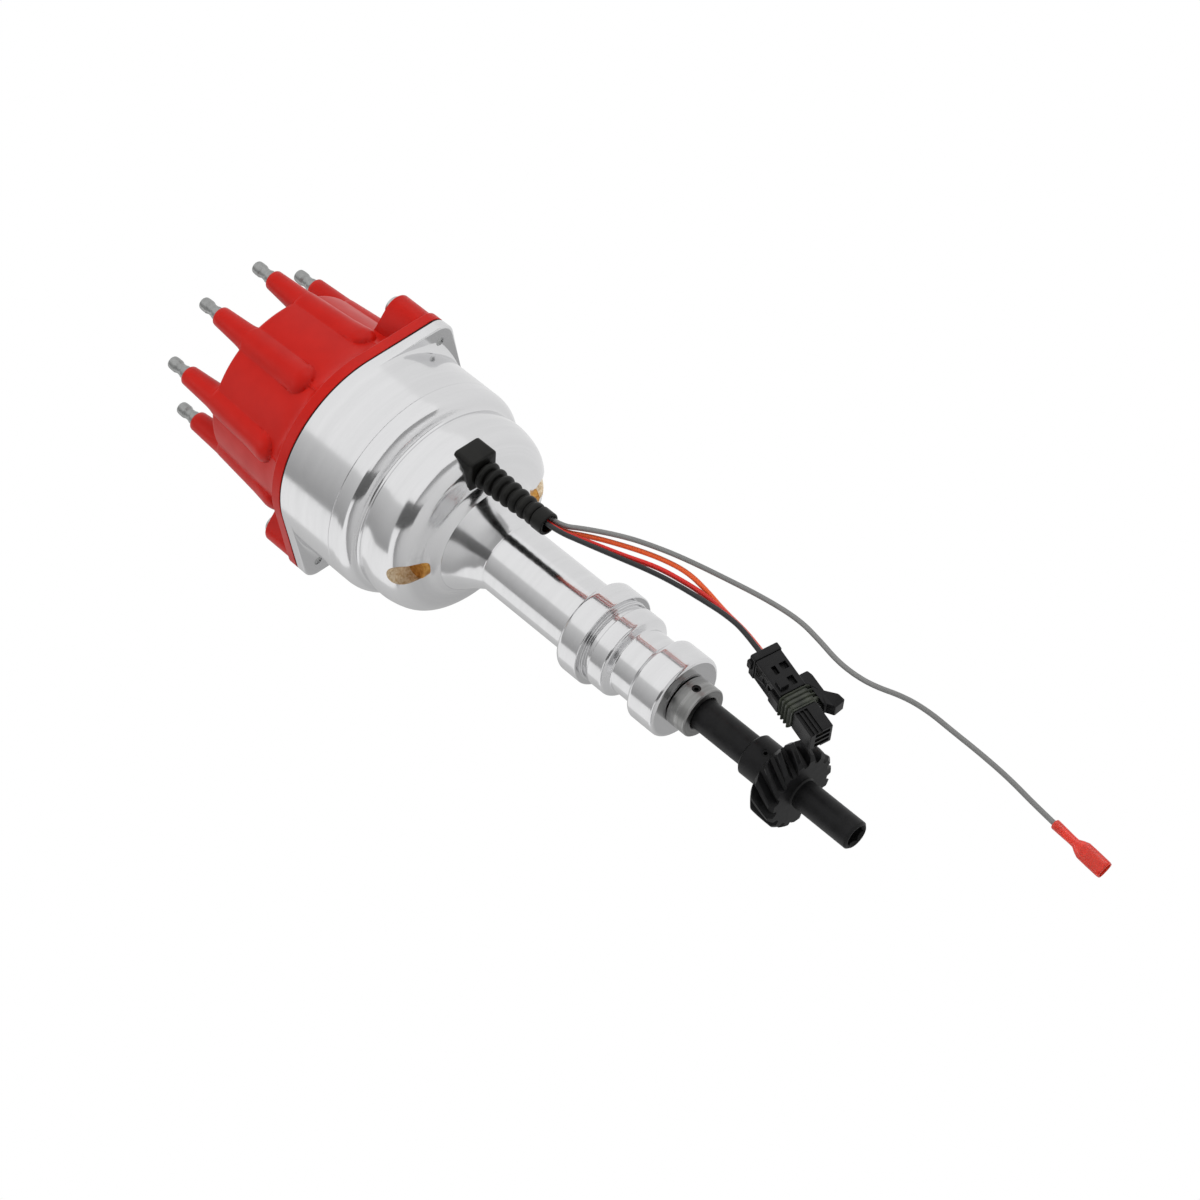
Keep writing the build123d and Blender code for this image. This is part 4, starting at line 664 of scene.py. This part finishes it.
# rows stand closer where a rib, a boss or the crown begins
heights = np.concatenate([wallLine[:, 1], np.linspace(162.2, 163.6, 3), np.linspace(164.0, 165.0, 7),
                          [165.1], np.linspace(166.0, 193.5, 20), np.linspace(194.2, cap["crown"], 10)])
wallRadius = np.interp(heights, np.append(wallLine[:, 1], cap["wallTop"][0]),
                       np.append(wallLine[:, 0], cap["wallTop"][1]))
wallRadius = rimRounded(wallRadius, heights - (cap["crown"] - cap["crownRim"]), cap["crownRim"])
capAngle = fullTurn(640)
height = heights[:, None]
# ribs: half buried cylinders that lean in, each ending in a ball at its foot
towerStep = 2 * np.pi / tower["count"]
off = (capAngle - math.radians(tower["first"]) + towerStep / 2) % towerStep - towerStep / 2
rise = np.clip((height - cap["ribFoot"]) / cap["ribHeight"], 0, 1)
ribCircle, ribRadius = (foot + (crest - foot) * rise for foot, crest in (cap["ribCircle"], cap["ribRadius"]))
ribRadius = np.sqrt(np.maximum(ribRadius**2 - np.maximum(cap["ribFoot"] - height, 0)**2, 0.01))
ribReach = np.where(ribCircle * np.abs(np.sin(off)) < ribRadius, farSide(ribCircle, ribRadius, off), 0)
ribBlend = np.interp(height, cap["blendHeights"], cap["blends"])
reach = softMax(wallRadius[:, None] + 0 * capAngle, ribReach, ribBlend)
# ears: the flange follows the ring's ears, and a boss rises over each to carry the screw's head
near = fromEar(capAngle)
bossSide = ears["boss"] / np.maximum(np.sin(near), 1e-3)
bossReach = np.where(ears["circle"] * np.sin(near) < ears["boss"] * 0.99,
                     farSide(ears["circle"], ears["boss"], near), np.minimum(bossSide, ears["bossReach"]))
bossReach = rimRounded(bossReach, height - (ears["bossTop"] - ears["bossRim"]), ears["bossRim"])
bossed = softMax(reach, np.where(near < ears["bossSpan"], bossReach, 0), cap["bossBlend"])
reach = np.where(height <= ears["bossTop"], bossed, reach)
flangeReach = rimRounded(earedRadius(capAngle), height - (flangeTop - cap["flangeRim"]), cap["flangeRim"])
flangeReach = rimRounded(flangeReach, cap["seam"] + cap["lowRim"] - height, cap["lowRim"])
reach = np.where(height <= flangeTop, np.maximum(reach, flangeReach), reach)
crownLine = np.array([
    (37.0, 197.05), (30.0, 197.4), (20.0, 197.9), (10.5, 198.4), (8.2, 198.8), (7.2, 199.8),
    (6.9, 201.5), (6.2, 209.2), (6.0, 209.7), (5.5, 210.0), (0.0, 210.0)])
cavityLine = rounded([
    (40.0, cap["seam"], 0.3), (40.0, 160.0, 1.0), (36.3, 172.0, 1.0), (35.8, 192.5, 1.0), (7.2, 192.5, 0.5),
    (6.2, 187.0, 0.4), (0.3, 187.0, 0.01), (0.2, 170.0, 0.01)], steps=3)[:-9]
lowerLine = np.vstack([[[0.0, 187.0]], cavityLine[::-1]])
crownGrid, lowerGrid = (aroundAxis(line[:, :1], line[:, 1:], capAngle) for line in (crownLine, lowerLine))
bodyGrid = np.concatenate([lowerGrid, aroundAxis(reach, height, capAngle), crownGrid])
# towers: cones on the ribs, flared a little where they meet the crown on the inner side
towerRows = np.concatenate([[tower["foot"]], np.linspace(tower["foot"], 202.0, 14),
                            np.linspace(203.0, 215.0, 7)])
turnSteps = np.linspace(0, np.pi / 2, 5)
towerTurn = fullTurn(56)
towerRadius = np.interp(towerRows, tower["levels"], tower["radii"])
towerRadius[0] = 0
fade = np.exp(-np.maximum(towerRows - tower["flareFoot"], 0) / tower["flareFade"])[:, None]
flare = tower["flare"] * fade * ((1 - np.cos(towerTurn)) / 2)
flare[0] = 0
tipRows = tower["top"] - tower["rim"] + tower["rim"] * np.sin(turnSteps)
tipRadius = tower["tip"] - tower["rim"] + tower["rim"] * np.cos(turnSteps)
rowsAll = np.concatenate([towerRows, tipRows, [tower["top"]]])
radiusAll = np.concatenate([towerRadius[:, None] + flare,
                            tipRadius[:, None] + 0 * towerTurn, 0 * towerTurn])
axisAll = np.interp(rowsAll, tower["levels"], tower["circles"])[:, None]
# one tower's points as distance and bearing from the cap's axis, then turned to its eight places
x, y = axisAll + radiusAll * np.cos(towerTurn), radiusAll * np.sin(towerTurn)
towerAngles = [math.radians(tower["first"]) + number * towerStep for number in range(tower["count"])]
towerGrids = [aroundAxis(np.hypot(x, y), rowsAll[:, None], np.arctan2(y, x) + turn) for turn in towerAngles]
place(finished("capMoulding", [bodyGrid] + towerGrids, "mouldedPolyester", sharp=50),
      "cap_plastic", "distributor_cap")
print("cap made")

# studs: post inside the cap, stem, and the knob that the lead snaps over
stud = {"foot": 174.0, "post": 3.6, "postTop": 186.0, "stem": 2.0, "knob": 2.95, "waist": 2.45, "tall": 10.75}
knobLine = rounded([
    (stud["knob"], 0.0, 0.25), (stud["knob"], 2.2, 0.5), (2.5, 3.6, 0.9), (stud["waist"], 5.2, 0.9),
    (stud["knob"], 6.6, 0.9), (stud["knob"], 8.6, 0.4), (2.75, 10.7, 1.7), (0.4, stud["tall"], 0.1),
    (0.05, stud["tall"], 0.01), (0.0, 4.0, 0.01)], support=0.05)[:-13]
postLine = rounded([
    (0.05, stud["foot"], 0.01), (stud["post"], stud["foot"], 0.4), (stud["post"], stud["postTop"], 0.4),
    (stud["stem"], stud["postTop"], 0.1), (stud["stem"], 215.9, 0.1), (1.0, 215.9, 0.01)])[:-9]
studLine = np.vstack([[[0.0, stud["foot"]]], postLine,
                      np.vstack([knobLine, [[0.0, stud["tall"]]]]) + [0, tower["top"]]])
studSpots = [outwardPoint(tower["circles"][-1], tower["first"] + 360.0 / tower["count"] * number, 0)
             for number in range(tower["count"])]
place(finished("sparkStuds", [revolved(studLine, 48, spot[:2]) for spot in studSpots], "castZinc", sharp=45),
      "terminal_metal", "spark_terminals")
print("studs made")

# boot: a block in the slot, rounded ribs that get smaller, and an end collar
collarTop = boot["end"] + boot["collarLength"]
pitch = (boot["blockLow"] - boot["end"] - boot["collarLength"]) / boot["ribs"]
rows = np.linspace(collarTop + 0.05, boot["blockLow"] + 1.0, 190)
phase = (boot["blockLow"] - rows) / pitch
ribNumber = np.clip(np.floor(phase), 0, boot["ribs"] - 1)
fromMiddle = np.abs(phase - ribNumber - 0.5) / 0.37
crest = boot["firstRib"] + (boot["lastRib"] - boot["firstRib"]) * ribNumber / (boot["ribs"] - 1)
# each rib is core + (crest - core) * sqrt(1 - d ** 2.4), d from its middle: a half ellipse, a little fuller
ribs = boot["core"] + (crest - boot["core"]) * np.sqrt(np.clip(1 - fromMiddle**2.4, 0, 1))
collarLine = rounded([
    (boot["mouth"], boot["end"] + 5, 0.05), (boot["mouth"], boot["end"], 0.4),
    (boot["collar"], boot["end"], 0.7), (boot["collar"], collarTop, 0.6), (boot["core"], collarTop, 0.1),
    (3.0, 46.0, 0.01)])[:-9]
bootLine = np.vstack([[[0.0, boot["end"] + 5]], collarLine, np.column_stack([ribs, rows]),
                      [[0.0, boot["blockLow"] + 1.0]]])
blockGrid = barrel(Vector((*boot["centre"], 0)) + outAxis * boot["blockReach"] / 2, outAxis, sideAxis, upAxis,
                   softEnds(boot["blockLow"], boot["blockTop"], boot["block"] + boot["blockReach"],
                            boot["blockWidth"], 1.8, 0.9))
place(finished("wireBoot", [revolved(bootLine, 64, boot["centre"]), blockGrid], "mouldedNeoprene", sharp=40),
      "black_rubber", "wire_boot")
print("boot made")

# connector: rear cover, body with its windows, ribbed seal, tower and latch
shell = {"width": 11.2, "depth": 12.4, "start": 2.3, "cover": plug["cover"], "body": 17.3, "seal": 7.9,
         "tower": 11.9, "towerWidth": 9.9, "towerDepth": 11.4, "core": (9.3, 10.8), "roll": -27.0,
         "shift": -0.8, "bladeSide": 0.6}
bodyStart = shell["start"] + shell["cover"]
bodyEnd = bodyStart + shell["body"]
sealEnd = bodyEnd + shell["seal"]
towerEnd = sealEnd + shell["tower"]
# the shells are turned about the connector's axis, so that the left side shows beside the front
roll = math.radians(shell["roll"])
shellSide = plugSide * math.cos(roll) + plugFront * math.sin(roll)
shellFront = plugAxis.cross(shellSide)
shellOrigin = rear + shellSide * shell["shift"]
plugFrame = (shellSide, shellFront, plugAxis)


def plugBlock(centre, size, corner=0.5, edge=0.35):
    # a block in the connector's own directions: centre and size are along side, front and axis
    origin = shellOrigin + shellSide * centre[0] + shellFront * centre[1]
    start, end = centre[2] - size[2] / 2, centre[2] + size[2] / 2
    return barrel(origin, *plugFrame, softEnds(start, end, size[0], size[1], corner, edge))


def cutBlocks(piece, name, blocks):
    # each block is made a closed piece and taken out
    cutAway(piece, [finished(name, [block], black) for block in blocks])


half = shell["width"] / 2
bodySize = (shell["width"], shell["depth"], shell["body"])
connectorPiece = finished("connectorBody", [
    plugBlock((0, 0, (bodyStart + bodyEnd) / 2), bodySize, 0.8)], black)
footPiece = finished("connectorFoot", [
    plugBlock((-half - 0.2, -0.4, bodyEnd - 2.4), (2.6, 7.0, 6.4), 0.6, 0.5)], black)
# windows over the three contacts' locks, (side, along, wide, high): two above with a rib between
# them, and two below
windowPlaces = ((-1.3, 12.4, 1.9, 3.8), (2.7, 12.1, 3.0, 3.2), (-2.6, 19.0, 3.6, 4.0), (1.9, 19.0, 2.6, 4.0))
windows = [plugBlock((side, face * shell["depth"] / 2, along), (wide, 4.4, high), 0.3, 0.2)
           for side, along, wide, high in windowPlaces for face in (-1, 1)]
windows += [plugBlock((-half, 0.8, along), (1.2, 3.0, 2.6), 0.3, 0.2) for along in (8.2, 12.4, 16.6)]
cutBlocks(connectorPiece, "windowCut", windows)
towerSections = [(bodyEnd - 0.4, *shell["core"], 1.0), (sealEnd, *shell["core"], 1.0)] + softEnds(
    sealEnd + 0.02, towerEnd, shell["towerWidth"], shell["towerDepth"], 0.7, 0.35)
towerPiece = finished("connectorTower", [barrel(shellOrigin, *plugFrame, towerSections)], black)
grooves = [plugBlock((side, face * 5.9, (sealEnd + towerEnd) / 2 + 1.0), (1.4, 2.6, shell["tower"]), 0.2, 0.1)
           for side in (-3.9, -2.15, -0.4) for face in (-1, 1)]
mouths = [plugBlock((shell["bladeSide"], way, towerEnd), (6.4, 2.2, 18.0), 0.3, 0.2) for way in ways]
cutBlocks(towerPiece, "grooveCut", grooves + mouths)
blades = [plugBlock((shell["bladeSide"], way, towerEnd - 5.0), (2.4, 1.2, 8.0), 0.3, 0.3) for way in ways]
contactPiece = finished("connectorBlades", blades, "tinnedBrass")
place(contactPiece, "tinned_brass", "connector_terminals")
# latch: an arm out of the body's right side and along it, with a thumb pad at its end, as (side, along)
latch = {"foot": half - 0.7, "corner": 0.7, "breadth": (-3.2, -3.2, -2.9, 2.9, 3.2, 3.2),
         "shrink": (0.0, 0.94, 1.0, 1.0, 0.94, 0.0)}
latchLine = np.array([
    (latch["foot"], 16.9), (half + 4.6, 16.9), (half + 5.3, 19.0), (half + 5.4, 27.4), (half + 9.4, 31.4),
    (half + 10.0, 34.6), (half + 5.2, 35.6), (half + 3.0, 33.0), (half + 1.9, 32.4), (half + 1.7, 21.5),
    (latch["foot"], 20.6)])
# the outline is rounded, then repeated across the arm's breadth, a little smaller at both faces
latchEdge = rounded(np.column_stack([latchLine, np.full(len(latchLine), latch["corner"])]), support=0.1)
breadth, shrink = np.array(latch["breadth"])[:, None], np.array(latch["shrink"])[:, None, None]
middleLatch = latchEdge.mean(0)
latchRings = middleLatch + (latchEdge - middleLatch)[None] * shrink
latchGrid = inFrame(shellOrigin, plugFrame, latchRings[..., 0], -breadth, latchRings[..., 1])
latchPiece = finished("connectorLatch", [latchGrid], black, sharp=40)
for shellPiece in (connectorPiece, towerPiece, latchPiece, footPiece):
    place(shellPiece, "black_plastic", "connector_body")
coverSize = (shell["width"] + 0.8, shell["depth"] + 0.8, shell["cover"])
coverPiece = finished("connectorCover", [
    plugBlock((0, 0, shell["start"] + shell["cover"] / 2), coverSize, 0.9)], black)
cutAway(coverPiece, [cylinderBetween("leadHole", cavityPoint(way, -3), cavityPoint(way, 6), 1.15, black, 32)
                     for way in ways])
hingePiece = finished("coverHinge", [
    plugBlock((-half - 0.5, 2.0, shell["start"] + 1.2), (2.4, 4.6, 2.6), 0.8, 0.6)], black)
for shellPiece in (hingePiece, coverPiece):
    place(shellPiece, "black_plastic", "connector_lock")
# seal: four soft ridges, each given as (step along, how far it stands out)
seal = {"ridges": 4, "width": 10.9, "depth": 11.4, "outWidth": 2.2, "outDepth": 1.8, "corner": 2.0,
        "ridge": ((0.0, 0), (0.4, 0.1), (0.6, 1.0), (0.8, 1.2), (1.0, 1.0), (1.2, 0.1), (1.7, 0))}
ridgeStarts = [bodyEnd + shell["seal"] * ridge / seal["ridges"] + 0.1 for ridge in range(seal["ridges"])]
sealSections = [(start + step, seal["width"] + seal["outWidth"] * grow,
                 seal["depth"] + seal["outDepth"] * grow, seal["corner"])
                for start in ridgeStarts for step, grow in seal["ridge"]]
sealPiece = finished("connectorSeal", [barrel(shellOrigin, *plugFrame, sealSections)],
                     "mouldedSilicone", sharp=60)
place(sealPiece, "seal_rubber", "connector_seal")
print("connector made")

# push-on terminal: a clear red sleeve over a flat receptacle, as (along, width, depth)
sleeve = {"length": 25.3, "rows": 60, "hollowRows": 28, "wall": 0.6, "round": (9.0, 15.0),
          "power": (1.0, 0.72)}
sleeveLine = np.array([
    (0.0, 3.7, 3.7), (0.4, 4.0, 4.0), (8.8, 3.5, 3.5), (10.6, 3.6, 3.4), (12.6, 5.6, 3.9),
    (14.6, 7.0, 4.4), (19.0, 7.1, 4.4), (24.6, 7.0, 4.4), (sleeve["length"], 6.6, 4.0)])
stations = np.linspace(0, sleeve["length"], sleeve["rows"])
widths, depths = (np.interp(stations, sleeveLine[:, 0], sleeveLine[:, i])[:, None] for i in (1, 2))
# superellipse: cos and sin to a power below 1, rounder at the barrel and boxier at the blade
turn = fullTurn(64)
power = np.interp(stations, sleeve["round"], sleeve["power"])[:, None]
u = widths / 2 * np.sign(np.cos(turn)) * np.abs(np.cos(turn)) ** power
v = depths / 2 * np.sign(np.sin(turn)) * np.abs(np.sin(turn)) ** power
# the hollow at the blade's end goes back inside by the wall's thickness
hollow = slice(None, sleeve["hollowRows"])
inner = stations[::-1][hollow]
uIn = u[::-1][hollow] - sleeve["wall"] * np.cos(turn)
vIn = v[::-1][hollow] - sleeve["wall"] * np.sin(turn)
uAll = np.vstack([0 * turn, u, uIn, 0 * turn])
vAll = np.vstack([0 * turn, v, vIn, 0 * turn])
along = np.concatenate([[0], stations, inner, inner[-1:]])[:, None] + 0 * turn
sleeveGrid = inFrame(spadeStart, (spadeSide, spadeFront, spadeAxis), uAll, vAll, along)
sleevePiece = finished("spadeSleeve", [sleeveGrid], "clearRedVinyl", sharp=45)
place(sleevePiece, "red_sleeve", "spade_sleeve")
print("sleeve made")

# floor, light cards and lamps
paper = surface("palePaper", {"tones": ("#F4F4F4", "#F0F0F0"), "sizes": (2.0, 60.0),
                              "roughness": (0.85, 0.9), "depth": 0.01})
floor = {"half": 3, "height": -0.75}  # the stage is in metres
floorMesh = bpy.data.meshes.new("floor")
floorMesh.from_pydata([(x * floor["half"], y * floor["half"], floor["height"])
                       for x, y in ((-1, -1), (1, -1), (1, 1), (-1, 1))], [], [(0, 1, 2, 3)])
floorMesh.materials.append(paper)
linked("floor", floorMesh)

cardMaterial = bpy.data.materials.new("greyCard")
cardMaterial.use_nodes = True
cardTree = cardMaterial.node_tree
cardTree.nodes.clear()
shadeValue = addNode(cardTree, "Attribute", {"attribute_name": "shade"})
glow = addNode(cardTree, "Emission", inputs={"Color": shadeValue.outputs["Color"], "Strength": 1.0})
cardTree.links.new(glow.outputs[0], addNode(cardTree, "OutputMaterial").inputs[0])

# azimuth from and to, elevation from and to, grey at each side: seen only as reflections
cardSettings = {"distance": 1.0, "rows": 30, "columns": 40}
cards = {
    "cardLeft": ((100, 168), (-75, 80), (0.40, 0.68)),
    "cardHigh": ((-150, -98), (8, 80), (0.33, 0.68)),
    "cardLow": ((-120, -90), (-75, 8), (0.10, 0.16)),
    "cardRight": ((-5, 100), (-75, 80), (0.90, 0.86)),
}


def lightCard(name, azimuths, elevations, greys):
    # a patch of a sphere: distance * (cos e cos a, cos e sin a, sin e), its grey even from side to side
    rows, columns = cardSettings["rows"], cardSettings["columns"]
    a = np.radians(np.linspace(*azimuths, columns))[None, :]
    e = np.radians(np.linspace(*elevations, rows))[:, None]
    points = cardSettings["distance"] * aroundAxis(np.cos(e), np.sin(e), a)
    index = np.arange(rows * columns).reshape(rows, columns)
    faces = np.stack([index[:-1, :-1], index[:-1, 1:], index[1:, 1:], index[1:, :-1]], axis=-1).reshape(-1, 4)
    mesh = bpy.data.meshes.new(name)
    mesh.from_pydata(points.reshape(-1, 3).tolist(), [], faces.tolist())
    grey = np.broadcast_to(np.linspace(*greys, columns)[None, :], (rows, columns)).ravel()
    layer = mesh.color_attributes.new("shade", "FLOAT_COLOR", "POINT")
    layer.data.foreach_set("color", np.column_stack([grey, grey, grey, np.ones_like(grey)]).ravel())
    mesh.materials.append(cardMaterial)
    card = linked(name, mesh)
    card.visible_camera = False
    card.visible_diffuse = False
    card.visible_transmission = False
    card.visible_shadow = False


for name, (azimuths, elevations, greys) in cards.items():
    lightCard(name, azimuths, elevations, greys)

lamps = {
    "keyLamp": {"place": (-0.6, -1.3, 0.9), "size": 1.1, "energy": 12.0},
    "fillLamp": {"place": (1.3, -0.5, 0.3), "size": 1.2, "energy": 12.0},
    "backLamp": {"place": (0.3, 1.2, 0.8), "size": 1.0, "energy": 7.0},
}
aim = Vector((0.0, 0.0, 0.05))
for name, lamp in lamps.items():
    data = bpy.data.lights.new(name, "AREA")
    data.shape = "DISK"
    data.size = lamp["size"]
    data.energy = lamp["energy"]
    lampObject = linked(name, data)
    lampObject.location = lamp["place"]
    lampObject.rotation_euler = (aim - Vector(lamp["place"])).to_track_quat("-Z", "Y").to_euler()
    lampObject.visible_glossy = False

world = bpy.data.worlds.new("softStudio")
bpy.context.scene.world = world
world.use_nodes = True
worldTree = world.node_tree
worldTree.nodes.clear()
# white where the camera or a reflection sees it, dimmer as light on the pieces
ray = addNode(worldTree, "LightPath")
seen = addNode(worldTree, "Math", {"operation": "MAXIMUM"}, {
    0: ray.outputs["Is Camera Ray"], 1: ray.outputs["Is Glossy Ray"]})
shown = addNode(worldTree, "Math", {"operation": "MAXIMUM"}, {
    0: seen.outputs[0], 1: ray.outputs["Is Transmission Ray"]})
daylight = {"onPieces": 0.34, "seen": 1.0}
strength = addNode(worldTree, "MapRange", inputs={
    "Value": shown.outputs[0], "To Min": daylight["onPieces"], "To Max": daylight["seen"]})
sky = addNode(worldTree, "Background", inputs={
    "Color": (1, 1, 1, 1), "Strength": strength.outputs[0]})
worldTree.links.new(sky.outputs[0], addNode(worldTree, "OutputWorld").inputs[0])
bpy.context.scene.view_settings.view_transform = "Standard"
print("stage lit")
